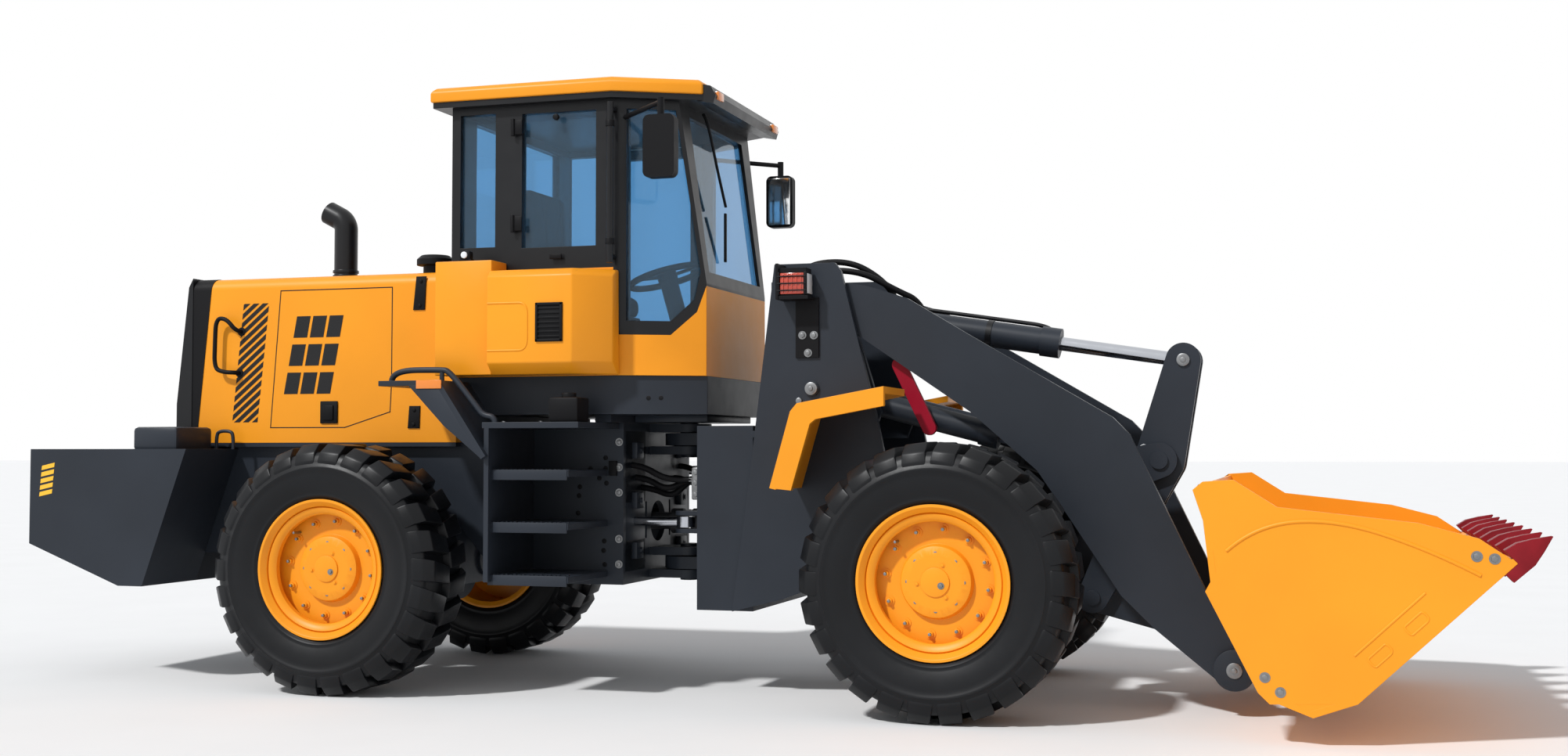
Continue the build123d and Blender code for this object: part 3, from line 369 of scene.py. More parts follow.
def strip(form, start, end, face, width, rise):
    """Lay a thin strip on a side face between two points (x, z)."""
    first = place(start[0], face, start[1])
    last = place(end[0], face, end[1])
    run = last - first
    turn = Matrix.Rotation(-math.atan2(run.z, run.x), 4, "Y")
    size = Matrix.Diagonal((run.length + 0.0008 * width, 0.002 * rise, 0.001 * width, 1.0))
    bmesh.ops.create_cube(form, size=1.0, matrix=Matrix.Translation(0.5 * (first + last)) @ turn @ size)


def plate(form, outline, face, rise, edge=0.0):
    """Raise a flat plate of a side-view outline (x, z) from a side face."""
    corners = [form.verts.new(place(x, face, z)) for x, z in outline]
    moved = extrude(form, [form.faces.new(corners)], (0.0, 0.001 * rise, 0.0))
    if edge:
        round_off(form, edges_among(form, moved), edge)


def cap(form, spot, axis, radius, rise, edge=3.0, segments=36):
    """Add a round cap that stands on a spot along an axis."""
    foot = place(*spot)
    matrix = Matrix.Translation(foot) @ facing(axis) @ Matrix.Translation((0.0, 0.0, 0.0005 * rise))
    made = bmesh.ops.create_cone(
        form,
        cap_ends=True,
        segments=segments,
        radius1=0.001 * radius,
        radius2=0.001 * radius,
        depth=0.001 * rise,
        matrix=matrix,
    )["verts"]
    if edge:
        far = [vert for vert in made if (vert.co - foot).dot(Vector(axis)) > 0.0005 * rise]
        round_off(form, edges_among(form, far), edge)


def bolt(form, spot, axis, radius, rise):
    """Add a hexagon bolt head on its washer."""
    cap(form, spot, axis, 1.6 * radius, 0.25 * rise, 0.0, 18)
    cap(form, spot, axis, radius, rise, 0.12 * radius, 6)


def pipe(form, points, radius, sides=5):
    """Bend a round pipe or hose along control points."""
    curve = bpy.data.curves.new("pipe", "CURVE")
    curve.dimensions = "3D"
    curve.bevel_depth = 0.001 * radius
    curve.bevel_resolution = sides
    curve.use_fill_caps = True
    curve.resolution_u = 8
    spline = curve.splines.new("NURBS")
    spline.points.add(len(points) - 1)
    for control, spot in zip(spline.points, points):
        control.co = (*place(*spot), 1.0)
    spline.order_u = 3
    spline.use_endpoint_u = True
    holder = bpy.data.objects.new("pipe", curve)
    mesh = bpy.data.meshes.new_from_object(holder)
    form.from_mesh(mesh)
    bpy.data.objects.remove(holder)
    bpy.data.curves.remove(curve)
    bpy.data.meshes.remove(mesh)


def show(form, name, material, crease=35.0):
    """Turn a form into a shaded object."""
    mesh = bpy.data.meshes.new(name)
    form.to_mesh(mesh)
    form.free()
    for layer in ("custom_normal", "sharp_face", "sharp_edge"):
        if layer in mesh.attributes:
            mesh.attributes.remove(mesh.attributes[layer])
    mesh.shade_smooth()
    mesh.set_sharp_from_angle(angle=math.radians(crease))
    mesh.materials.clear()
    mesh.materials.append(finish_of(material))
    thing = bpy.data.objects.new(name, mesh)
    bpy.context.scene.collection.objects.link(thing)
    return thing


def piece(form, name, body, slot, material=None, crease=35.0):
    """Finish a new form as a piece that rides on a body."""
    bmesh.ops.recalc_face_normals(form, faces=form.faces[:])
    thing = show(form, name, material or slot, crease)
    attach(thing, body)
    return thing


def hose(name, route, radius, bodies, start, end):
    """Lay a hose along its route."""
    form = bmesh.new()
    pipe(form, route, radius)
    bmesh.ops.recalc_face_normals(form, faces=form.faces[:])
    thing = show(form, name, "black_plastic", 60.0)
    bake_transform(thing)


def body_of(node):
    """Name of the body that a node rides on."""
    holder = frame["nodes"][node].parent
    return next(name for name, body in frame["bodies"].items() if body == holder)


def softened(node, width):
    """Copy a node's form with its cut edges rounded, to stand for it."""
    form = bmesh.new()
    form.from_mesh(frame["nodes"][node].data)
    bmesh.ops.remove_doubles(form, verts=form.verts[:], dist=0.00002)
    bmesh.ops.dissolve_limit(
        form,
        angle_limit=math.radians(0.5),
        use_dissolve_boundaries=False,
        verts=form.verts[:],
        edges=form.edges[:],
        delimit=set(),
    )
    if width:
        round_off(form, sharp_edges(form, 28.0), width)
    thing = show(form, f"{node}_finished", SLOTS[node], 36.0)
    even = thing.modifiers.new("even shading", "WEIGHTED_NORMAL")
    even.keep_sharp = True
    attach(thing, body_of(node))
    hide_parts(node)


def bucket_spot(x, y, z):
    """Point of the level bucket, where it is carried."""
    across = BUCKET_HEEL[0] + x * math.cos(BUCKET_TURN) - z * math.sin(BUCKET_TURN)
    up = BUCKET_HEEL[1] + x * math.sin(BUCKET_TURN) + z * math.cos(BUCKET_TURN)
    return across, y, up


class LOADER_OT_finishes(bpy.types.Operator):
    """Make the loader's paints, rubber, glass and metals"""

    bl_idname = "loader.finishes"
    bl_label = "Finishes"

    def execute(self, context):
        paint = context.scene.loader_paint
        finish("body_yellow", paint.yellow, 0.40, spread=0.05, grain=0.03, grain_size=260.0, shine=0.3)
        finish("frame_slate", paint.slate, 0.42, spread=0.16, grain=0.05, grain_size=220.0, shine=0.25)
        finish("cab_black", paint.black, 0.36, spread=0.15, grain=0.04, shine=0.3)
        finish("black_plastic", paint.plastic, 0.5, spread=0.12, grain=0.25, grain_size=700.0, shine=0.12)
        finish("lamp_housing", paint.plastic, 0.45, spread=0.12, grain=0.2, grain_size=700.0, shine=0.12)
        finish("tyre", paint.rubber, 0.38, spread=0.25, patch=3.0, grain=0.2, grain_size=420.0, shine=0.22)
        finish("engine_iron", paint.iron, 0.6, 0.3, spread=0.2, grain=0.3, grain_size=180.0)
        finish("seat_cover", paint.cover, 0.85, spread=0.15, grain=0.6, grain_size=900.0)
        finish("lamp_red", paint.lens, 0.18, spread=0.08, patch=20.0, coat=0.8)
        finish("strut_red", paint.strut, 0.36, spread=0.1, shine=0.15)
        finish("tooth_red", paint.teeth, 0.42, spread=0.2, patch=9.0, grain=0.1, shine=0.15)
        finish("rod_chrome", paint.chrome, 0.16, 1.0, spread=0.03)
        finish("zinc_plate", paint.zinc, 0.38, 1.0, spread=0.14, patch=14.0)
        finish("warning_stripe", paint.stripe, 0.45, spread=0.06)
        finish("radiator_core", paint.plastic, 0.6, 0.4, spread=0.1, grain=0.8, grain_size=160.0)
        finish("white_lens", (0.78, 0.80, 0.82), 0.12, spread=0.03, coat=0.8)
        finish("amber_lens", (0.80, 0.22, 0.01), 0.16, spread=0.06, coat=0.8)
        finish("mirror_face", (0.85, 0.87, 0.88), 0.1, 1.0, spread=0.02)
        # The glass's blue is partly its own tint and partly a painted sky reflection
        clear_finish("glass", paint.glass, 0.02)
        return {"FINISHED"}


class LOADER_OT_bodywork(bpy.types.Operator):
    """Round the cut edges of the loader's plates, castings and cab, and glaze the cab"""

    bl_idname = "loader.bodywork"
    bl_label = "Bodywork"

    def execute(self, context):
        plain_edge = context.scene.loader_sizes.edge
        for node in SLOTS:
            if node in OWN_FORM or node.startswith("tyre_"):
                continue
            softened(node, EDGE.get(node, plain_edge))
        for node in ("cab_glass", "door_glass"):
            pane = frame["nodes"][node]
            pane.data.materials.clear()
            pane.data.materials.append(finish_of("glass"))
        return {"FINISHED"}


class LOADER_OT_wheels(bpy.types.Operator):
    """Mould the lugged tyres and bolt the wheels on"""

    bl_idname = "loader.wheels"
    bl_label = "Wheels"

    def execute(self, context):
        sizes = context.scene.loader_sizes
        for node in SLOTS:
            if node.startswith("tyre_"):
                self.tyre(node, sizes)
            if node.startswith("rim_"):
                self.studs(node, sizes)
        return {"FINISHED"}

    def middle(self, node):
        """Middle of a wheel, from its frame node."""
        low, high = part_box(node)
        return 0.5 * (Vector(low) + Vector(high))

    def tyre(self, node, sizes):
        """One tyre with its two staggered rows of lugs."""
        form = bmesh.new()
        self.carcass(form)
        for side in SIDES:
            self.lug_row(form, side, sizes)
        bmesh.ops.translate(form, verts=form.verts[:], vec=self.middle(node))
        thing = piece(form, f"{node}_moulded", body_of(node), "tyre", crease=40.0)
        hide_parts(node)

    def carcass(self, form):
        """Tyre under its lugs: bead, bulging wall with its rim guard, shoulder and crown."""
        bead = [(308, 165), (331, 172), (338, 180), (347, 186), (356, 185), (364, 188)]
        bulge = [(388, 196), (414, 202), (440, 205), (462, 205.5)]
        guard = [(466, 208.5), (475, 208.5), (479, 204)]
        shoulder = [(502, 199), (524, 190), (540, 180), (546, 168), (547, 150)]
        wall = bead + bulge + guard + shoulder
        turned(form, wall + [(547, 0)] + [(radius, -across) for radius, across in reversed(wall)], 100)

    def lug_row(self, form, side, sizes):
        """Slanted lugs along one shoulder, each run down onto the wall."""
        pitch = 2.0 * math.pi / sizes.lugs
        wide = LUG_SHARE * pitch * LUG_TIP
        top = math.sqrt(LUG_TIP**2 - wide**2)
        ridge = ((0.006, 0.0), (0.080, 0.0), (0.150, 0.0), (0.191, 0.042), (0.203, 0.084))
        reach = 0.199
        lug = bmesh.new()
        rows = []
        for across, drop in ridge:
            share = (across - ridge[0][0]) / reach
            low = lug.verts.new(((-0.2 - 0.8 * share) * wide, side * across, top - drop))
            high = lug.verts.new(((1.0 - 0.4 * share) * wide, side * across, top - drop))
            rows.append((low, high))
        faces = [lug.faces.new((*near, *reversed(far))) for near, far in zip(rows, rows[1:])]
        bmesh.ops.recalc_face_normals(lug, faces=faces)
        if faces[0].normal.z < 0.0:
            bmesh.ops.reverse_faces(lug, faces=faces)
        rim_edges = [edge for edge in lug.edges if edge.is_boundary]
        root = bmesh.ops.extrude_edge_only(lug, edges=rim_edges)["geom"]
        root = [item for item in root if isinstance(item, bmesh.types.BMVert)]
        bmesh.ops.translate(lug, verts=root, vec=(0.0, -0.010 * side, -0.052))
        bmesh.ops.recalc_face_normals(lug, faces=lug.faces[:])
        round_off(lug, sharp_edges(lug, 25.0), sizes.lug_edge)
        before = len(form.verts)
        join(form, lug)
        form.verts.ensure_lookup_table()
        verts = form.verts[before:]
        stagger = Matrix.Rotation(0.0 if side > 0 else 0.5 * pitch, 3, "Y")
        bmesh.ops.rotate(form, verts=verts, cent=(0.0, 0.0, 0.0), matrix=stagger)
        chosen = set(verts)
        faces = [face for face in form.faces if face.verts[0] in chosen]
        bmesh.ops.spin(
            form,
            geom=verts + edges_among(form, verts) + faces,
            cent=(0.0, 0.0, 0.0),
            axis=(0.0, 1.0, 0.0),
            angle=(sizes.lugs - 1) * pitch,
            steps=sizes.lugs - 1,
            use_duplicate=True,
        )

    def studs(self, node, sizes):
        """Lock ring, wheel studs, hub bolts, oil plug and valve of one wheel."""
        middle = self.middle(node)
        side = -1 if middle.y < 0.0 else 1
        out = Vector((0.0, side, 0.0))
        hub = 1000.0 * (middle - Vector((FRONT_AXLE, 0.0, 0.0)))
        steel, painted = forms(2)
        ring = [(293, 148), (286, 157), (266, 151), (255, 138), (255, 112), (293, 112)]
        turned(painted, [(radius, side * across) for radius, across in ring], 90)
        bmesh.ops.translate(painted, verts=painted.verts[:], vec=middle)
        for x, z in circle(sizes.studs, 222, 0.25):
            spot = (hub.x + x, hub.y + side * 75, hub.z + z)
            bolt(painted, spot, out, 14, 16)
            cap(steel, spot, out, 7, 28, 1.0, 12)
        for x, z in circle(8, 121):
            bolt(steel, (hub.x + x, hub.y + side * 104, hub.z + z), out, 9, 9)
        for x, z in circle(3, 78, 0.2):
            bolt(painted, (hub.x + x, hub.y + side * 118, hub.z + z), out, 7, 6)
        cap(painted, (hub.x, hub.y + side * 118, hub.z), out, 62, 7, 3.0, 40)
        bolt(steel, (hub.x + 26, hub.y + side * 125, hub.z - 14), out, 9, 8)
        valve = (hub.x - 168, hub.y + side * 75, hub.z + 166)
        cap(steel, valve, out, 6, 60, 1.5, 12)
        piece(painted, f"{node}_studs", body_of(node), "body_yellow")
        piece(steel, f"{node}_plug", body_of(node), "rod_chrome", "zinc_plate")


class LOADER_OT_hood(bpy.types.Operator):
    """Fit the hood's seams, vents, handles, straps, tail surround and radiator, and the covers behind it"""

    bl_idname = "loader.hood"
    bl_label = "Hood fittings"

    def execute(self, context):
        sizes = context.scene.loader_sizes
        seams, trim, loops, vents, core, stack = forms(6)
        for side in SIDES:
            out = (0.0, side, 0.0)
            face = side * HOOD_FACE
            door = [(-3472, 1950), (-3524, 1257), (-3097, 1256), (-2843, 1332), (-2836, 1479)]
            runs = [*zip(door, door[1:]), (door[0], (-2836, 1950)), (door[-1], (-2836, 1950))]
            for start, end in runs:
                strip(seams, start, end, face, sizes.seam, 0.7)
            bow = [(-3703, 545, 1747), (-3760, 546, 1812), (-3822, 546, 1815), (-3826, 546, 1690)]
            bow += [(-3828, 546, 1560), (-3775, 546, 1540), (-3712, 545, 1537)]
            grip = [(-3700, face, 1747), *[(x, side * y, z) for x, y, z in bow], (-3710, face, 1537)]
            pipe(trim, grip, 11)
            for spot in (grip[0], grip[-1]):
                cap(trim, spot, out, 22, 5, 2.0, 24)
            slab(trim, (-3234, face, 1276), (-3136, face + side * 9, 1388), 4.0)
            slab(trim, (-3214, face, 1292), (-3156, face + side * 17, 1368), 5.0)
            plate(trim, [(-2717, 1833), (-2700, 1999), (-2646, 1999), (-2653, 1833)], face, side * 7, 2.0)
            plate(trim, [(-2742, 1250), (-2734, 1360), (-2675, 1360), (-2678, 1250)], face, side * 7, 2.0)
            for spot in ((-2680, 1855), (-2674, 1975), (-2709, 1270), (-2706, 1340)):
                cap(trim, (spot[0], face + side * 7, spot[1]), out, 9, 5, 1.5, 16)
            ring = [(-3800, 1148), (-3800, 1215), (-3785, 1240), (-3715, 1240), (-3700, 1215), (-3700, 1148)]
            pipe(loops, [(x, side * 560, z) for x, z in ring], 9)
            slab(loops, (-4071, side * 570, 1140), (-3814, side * 860, 1259), 20.0)
            self.louvre(vents, side)
            for index in range(9):
                row, column = divmod(index, 3)
                x = -3448 + 94 * column + 26 * row
                z = 1426 + 142 * row
                plate(vents, [(x, z), (x + 20, z + 108), (x + 98, z + 108), (x + 78, z)], face, side * 1.5)
        piece(seams, "hood_seams", "rear_body", "cab_black")
        piece(trim, "hood_trim", "rear_body", "black_plastic")
        piece(loops, "counterweight_covers", "rear_body", "frame_slate")
        piece(vents, "hood_vents", "rear_body", "black_plastic", "radiator_core")
        self.surround()
        slab(core, (-3884, -470, 1195), (-3862, 470, 1935), 2.0)
        piece(core, "radiator", "rear_body", "black_plastic", "radiator_core")
        for z in (2050, 2075):
            cap(stack, (*EXHAUST, z), UP, 67, 14, 3.0)
        for y, x in circle(6, 71):
            bolt(stack, (EXHAUST[0] + x, EXHAUST[1] + y, 2047), UP, 6, 6)
        piece(stack, "exhaust_clamps", "rear_body", "black_plastic", "cab_black")
        return {"FINISHED"}

    def louvre(self, form, side):
        """Slanted slots on the hood's side, cut to their leaning panel."""
        gap = 26
        climb = 194
        slots = bmesh.new()
        for index in range(-5, 14):
            low = 1285 + 43 * index
            high = low + climb
            slot = [(-3760, low), (-3760, low + gap), (-3520, high + gap), (-3520, high)]
            slots.faces.new([slots.verts.new(place(x, side * HOOD_FACE, z)) for x, z in slot])
        cuts = (
            ((-3749, 1285), (0.0, 0.0, -1.0)),
            ((-3749, 1889), UP),
            ((-3749, 1285), (-1.0, 0.0, 0.1)),
            ((-3601, 1285), (1.0, 0.0, -0.1)),
        )
        for spot, outward in cuts:
            bmesh.ops.bisect_plane(
                slots,
                geom=slots.verts[:] + slots.edges[:] + slots.faces[:],
                plane_co=place(spot[0], side * HOOD_FACE, spot[1]),
                plane_no=outward,
                clear_outer=True,
            )
        extrude(slots, slots.faces[:], (0.0, 0.0015 * side, 0.0))
        join(form, slots)

    def surround(self):
        """Black band over the end of the hood, leaning as the tail does."""
        half = HOOD_FACE + 3
        spring = 1962
        bend = 63
        band = bmesh.new()
        arch = [(half, 1181), (half, spring)]
        for step in range(1, 9):
            turn = math.radians(90.0 * step / 8)
            arch.append((half - bend + bend * math.cos(turn), spring + bend * math.sin(turn)))
        arch += [(-y, z) for y, z in reversed(arch)]
        rows = []
        for y, z in arch:
            rear = band.verts.new(place(-3992, y, z))
            front = band.verts.new(place(-3961 + 0.1 * (z - 1180), y, z))
            rows.append((rear, front))
        for near, far in zip(rows, rows[1:]):
            band.faces.new((*near, *reversed(far)))
        bmesh.ops.recalc_face_normals(band, faces=band.faces[:])
        bmesh.ops.solidify(band, geom=band.faces[:], thickness=0.002)
        piece(band, "tail_surround", "rear_body", "black_plastic")


class LOADER_OT_cab(bpy.types.Operator):
    """Fit the cab's visor, side boxes, wiper, catches, mirror faces, lamps, dash and console"""

    bl_idname = "loader.cab"
    bl_label = "Cab fittings"

    def execute(self, context):
        self.outside()
        self.visor()
        self.boxes()
        self.inside()
        self.door_handle()
        return {"FINISHED"}

    def visor(self):
        """Black lip under the roof's edge with a short drooping visor in front."""
        form = bmesh.new()
        half_plan = [(-2508, 698), (-1580, 698), (-1200, 498)]
        plan = half_plan + [(x, -y) for x, y in reversed(half_plan)]
        lip = form.faces.new([form.verts.new(place(x, y, 2784)) for x, y in plan])
        extrude(form, [lip], (0.0, 0.0, 0.028))
        droop = [(-1200, 2860), (-1165, 2852), (-1138, 2807), (-1150, 2767), (-1240, 2784), (-1240, 2812)]
        plate(form, droop, -498, 996, 6.0)
        thing = piece(form, "cab_visor_finished", "rear_body", SLOTS["cab_visor"])
        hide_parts("cab_visor")

    def boxes(self):
        """Bevelled boxes beside the cab, with the plate and the air grille on the right."""
        form = bmesh.new()
        right = [(-2140, BOX_BACK), (-2140, BOX_FACE), (-1711, BOX_FACE), (-1560, 720), (-1560, BOX_BACK)]
        left = [(-2430, BOX_BACK), (-2430, BOX_FACE), (-2170, BOX_FACE), (-2170, BOX_BACK)]
        for side, plan in ((-1, right), (1, left)):
            low = [form.verts.new(place(x, side * y, BOX_FOOT)) for x, y in plan]
            top = extrude(form, [form.faces.new(low)], (0.0, 0.0, 0.486))
            for corners, width in ((top, 32.0), (low, 58.0)):
                outer = [vert for vert in corners if abs(vert.co.y) > 0.7]
                round_off(form, edges_among(form, outer), width, 1)
        bmesh.ops.recalc_face_normals(form, faces=form.faces[:])
        round_off(form, sharp_edges(form, 20.0), 7.0)
        slab(form, (-2430, -BOX_BACK, BOX_FOOT), (-2136, -810, 2030), 6.0)
        thing = piece(form, "side_boxes_finished", "rear_body", SLOTS["side_boxes"])
        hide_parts("side_boxes")
        self.grille(-BOX_FACE)

    def grille(self, face):
        """Framed air grille with seven bars on the right box."""
        rear, front = -1890, -1755
        foot, head = 1639, 1819
        bar = 13
        grille = bmesh.new()
        slab(grille, (rear, face + 1, foot), (front, face - 3, head), 1.0)
        for x in (rear, front - bar):
            slab(grille, (x, face, foot), (x + bar, face - 10, head), 3.0)
        for z in (foot, head - bar):
            slab(grille, (rear, face, z), (front, face - 10, z + bar), 3.0)
        for index in range(7):
            z = foot + 20 + 21.5 * index
            slab(grille, (rear + 12, face, z), (front - 12, face - 7, z + 10), 2.5)
        piece(grille, "side_box_grille", "rear_body", "black_plastic")

    def outside(self):
        """Wiper, window catches, hinges, mirror faces, lamps, plugs and the bead pressed in the box."""
        pane = -664
        trim, steel, lens, amber, covers, bead = forms(6)
        pipe(trim, [(-1290, -250, 2770), (-1268, -250, 2740), (-1240, -180, 2500), (-1218, -120, 2330)], 7)
        slab(trim, (-1226, -130, 2060), (-1214, -112, 2300), 3.0)
        for side in SIDES:
            for z in (2110, 2660):
                cap(trim, (-1585, side * 705, z - 14), UP, 21, 28, 3.0, 24)
            slab(steel, (-1317, side * 880, 2372), (-1193, side * 877, 2627), 1.0)
        cap(trim, (-1875, pane, 2712), RIGHT, 15, 16, 4.0, 20)
        slab(trim, (-1905, pane, 2040), (-1845, pane - 10, 2064), 3.0)
        for z in (2180, 2640):
            slab(trim, (-2100, pane, z), (-2050, pane - 9, z + 70), 3.0)
            cap(trim, (-2098, pane - 8, z - 6), UP, 10, 82, 2.0, 16)
        slab(trim, (-2311, -800, 2030), (-2249, -762, 2040), 2.0)
        slab(trim, (-2308, -805, 2038), (-2252, -765, 2078), 9.0)
        piece(trim, "cab_trim", "rear_body", "black_plastic")
        piece(steel, "mirror_faces", "rear_body", "rod_chrome", "mirror_face")
        cap(lens, (-2280, -805, 2058), RIGHT, 16, 8, 3.0, 24)
        piece(lens, "cab_side_lamp", "rear_body", "lamp_housing", "white_lens")
        for side in SIDES:
            slab(amber, (-1160, side * 390, 2790), (-1132, side * 470, 2830), 6.0)
            slab(amber, (-2440, side * 960, 1426), (-2310, side * 966, 1466), 3.0)
        piece(amber, "marker_lamps", "rear_body", "lamp_red", "amber_lens")
        for x, z in ((-1418, 1382), (-1356, 1382)):
            for side in SIDES:
                cap(covers, (x, side * 634, z), (0.0, side, 0.0), 11, 3, 1.0, 20)
        piece(covers, "floor_plugs", "rear_body", "black_plastic")
        press = [(-2136, 1822), (-2020, 1822), (-1934, 1822), (-1934, 1712), (-1934, 1602), (-2020, 1602)]
        pipe(bead, [(x, 2 - BOX_FACE, z) for x, z in press + [(-2136, 1602)]], 6)
        piece(bead, "side_box_bead", "rear_body", "body_yellow")

    def inside(self):
        """Console with its levers, dash with its dials, and pedals."""
        panel, dials = forms(2)
        slab(panel, (-2190, -480, 1492), (-1760, -310, 1850), 22.0)
        slab(panel, (-2150, -470, 1850), (-1840, -320, 1890), 16.0)
        slab(panel, (-1345, -260, 1492), (-1268, 260, 1840), 18.0)
        for y in (-440, -400, -350):
            pipe(panel, [(-1800, y, 1850), (-1800, y, 1930), (-1785, y, 2010)], 6)
            cap(panel, (-1785, y, 2000), (0.1, 0.0, 1.0), 18, 42, 12.0, 24)
        for y in (-120, 120):
            slab(panel, (-1440, y - 45, 1510), (-1400, y + 45, 1620), 6.0)
        piece(panel, "cab_console", "rear_body", "black_plastic")
        for y in (-150, -50, 50, 150):
            cap(dials, (-1345, y, 1770), BACK, 34, 6, 2.0, 28)
        piece(dials, "dash_dials", "rear_body", "lamp_housing", "white_lens")

    def door_handle(self):
        """Bow handle and lock of the door."""
        grip = bmesh.new()
        bow = [(650, 1880), (700, 1880), (705, 1960), (705, 2060), (700, 2140), (650, 2140)]
        pipe(grip, [(-1655, y, z) for y, z in bow], 10)
        slab(grip, (-1680, 650, 1800), (-1630, 660, 1870), 4.0)
        cap(grip, (-1655, 660, 1835), (0.0, 1.0, 0.0), 13, 8, 3.0, 20)
        piece(grip, "door_handle", "door_body", "black_plastic")


class LOADER_OT_seat(bpy.types.Operator):
    """Upholster the seat in the cab"""

    bl_idname = "loader.seat"
    bl_label = "Seat"

    def execute(self, context):
        post, base, back = forms(3)
        slab(post, (-2200, -150, 1490), (-1900, 150, 1640), 12.0)
        slab(post, (-2180, -120, 1640), (-1920, 120, 1800), 30.0)
        slab(post, (-2270, -215, 1795), (-1800, 215, 1822), 8.0)
        stand = piece(post, "seat_stand", "rear_body", "black_plastic")
        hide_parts("seat")
        slab(base, (-2262, -226, 1824), (-1792, 226, 1920), 30.0)
        self.cushion(context, base, "seat_base", UP)
        slab(back, (-2262, -205, 1935), (-2176, 205, 2470), 30.0)
        lean = Matrix.Rotation(math.radians(-5.0), 3, "Y")
        bmesh.ops.rotate(back, verts=back.verts[:], cent=place(-2220, 0, 1935), matrix=lean)
        self.cushion(context, back, "seat_back", FORWARD)
        return {"FINISHED"}

    def cushion(self, context, form, name, crown):
        """Blow a closed form up as stuffing does under its cover, and sew two channels across it."""
        swell = 0.012
        sewn = 0.010
        thing = show(form, name, "seat_cover", 60.0)
        even = thing.modifiers.new("even", "REMESH")
        even.mode = "VOXEL"
        even.voxel_size = 0.012
        self.settle(context, thing)
        start = [vert.co.copy() for vert in thing.data.vertices]
        cover = thing.modifiers.new("cover", "CLOTH")
        cover.settings.use_pressure = True
        cover.settings.uniform_pressure_force = 4.0
        cover.settings.effector_weights.gravity = 0.0
        for number in range(1, 16):
            context.scene.frame_set(number)
        self.settle(context, thing)
        context.scene.frame_set(1)
        middle = sum(start, Vector()) / len(start)
        for vert, was in zip(thing.data.vertices, start):
            move = vert.co - was
            if move.length > swell:
                vert.co = was + swell * move.normalized()
            facing_out = (was - middle).dot(Vector(crown))
            for channel in (-0.10, 0.10):
                near = math.exp(-(((was.y - channel) / sewn) ** 2))
                if facing_out > 0.0:
                    vert.co -= sewn * near * Vector(crown)
        thing.data.shade_smooth()
        soft = thing.modifiers.new("soft", "SUBSURF")
        soft.levels = 1
        soft.render_levels = 1
        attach(thing, "rear_body")

    def settle(self, context, thing):
        """Make what the modifiers give the piece's own mesh."""
        graph = context.evaluated_depsgraph_get()
        graph.update()
        mesh = bpy.data.meshes.new_from_object(thing.evaluated_get(graph))
        thing.modifiers.clear()
        was = thing.data
        thing.data = mesh
        bpy.data.meshes.remove(was)
        if not mesh.materials:
            mesh.materials.append(finish_of("seat_cover"))


class LOADER_OT_steps(bpy.types.Operator):
    """Fit the ladder treads, guard rails, platform boxes, and the plugs and bolts of the rear frame"""

    bl_idname = "loader.steps"
    bl_label = "Steps and frame fittings"

    def execute(self, context):
        grip, dark, steel, rails = forms(4)
        holes = [(-1710, 1105), (-1710, 1055), (-1705, 984), (-1788, 1053), (-1742, 1008), (-1843, 966)]
        holes += [(-1847, 924), (-1852, 841), (-1872, 791), (-1716, 709), (-1719, 664), (-1713, 598)]
        gusset = [(-2483, 1442), (-2338, 1442), (-2112, 1106), (-2300, 1255)]
        lug = [(-1690, 1020), (-1690, 1090), (-1650, 1090), (-1650, 1020)]
        for side in SIDES:
            out = (0.0, side, 0.0)
            for z in STEP_HEIGHTS:
                for index in range(9):
                    for across in (835, 875):
                        spot = (-2082 + 44 * index, side * across, z)
                        cap(grip, spot, UP, 9, 5, 0.0, 8)
                slab(grip, (-2100, side * 898, z - 44), (-1706, side * 904, z + 3), 1.5)
            rail = [(-2600, 1462), (-2600, 1515), (-2340, 1515), (-2300, 1508), (-2160, 1345), (-2125, 1302)]
            rail += [(-2064, 1295), (-2064, 1255)]
            pipe(rails, [(x, side * RAIL_SIDE, z) for x, z in rail], 14)
            pipe(rails, [(-2338, side * RAIL_SIDE, z) for z in (1460, 1490, 1512)], 11)
            plate(rails, gusset, side * 948, side * 12, 2.0)
            for x, z in holes:
                cap(dark, (x, side * FRAME_FACE, z), out, 12, 1.5, 0.5, 20)
            for z in (1180, 1060, 940, 720, 600):
                bolt(steel, (-1640, side * FRAME_FACE, z), out, 12, 10)
            plate(dark, lug, side * FRAME_FACE, side * 14, 4.0)
            for x in (-2090, -1900, -1720):
                bolt(steel, (x, side * 770, 1270), UP, 9, 8)
        slab(dark, (-1800, -905, 1270), (-1655, -770, 1382), 10.0)
        cap(dark, (-1727, -838, 1382), UP, 34, 22, 5.0, 28)
        slab(dark, (-1790, 770, 1270), (-1655, 905, 1340), 10.0)
        piece(grip, "step_treads", "rear_body", "frame_slate")
        piece(rails, "guard_rails", "rear_body", "frame_slate")
        piece(dark, "frame_plugs", "rear_body", "black_plastic")
        piece(steel, "frame_bolts", "rear_body", "rod_chrome", "zinc_plate")
        return {"FINISHED"}


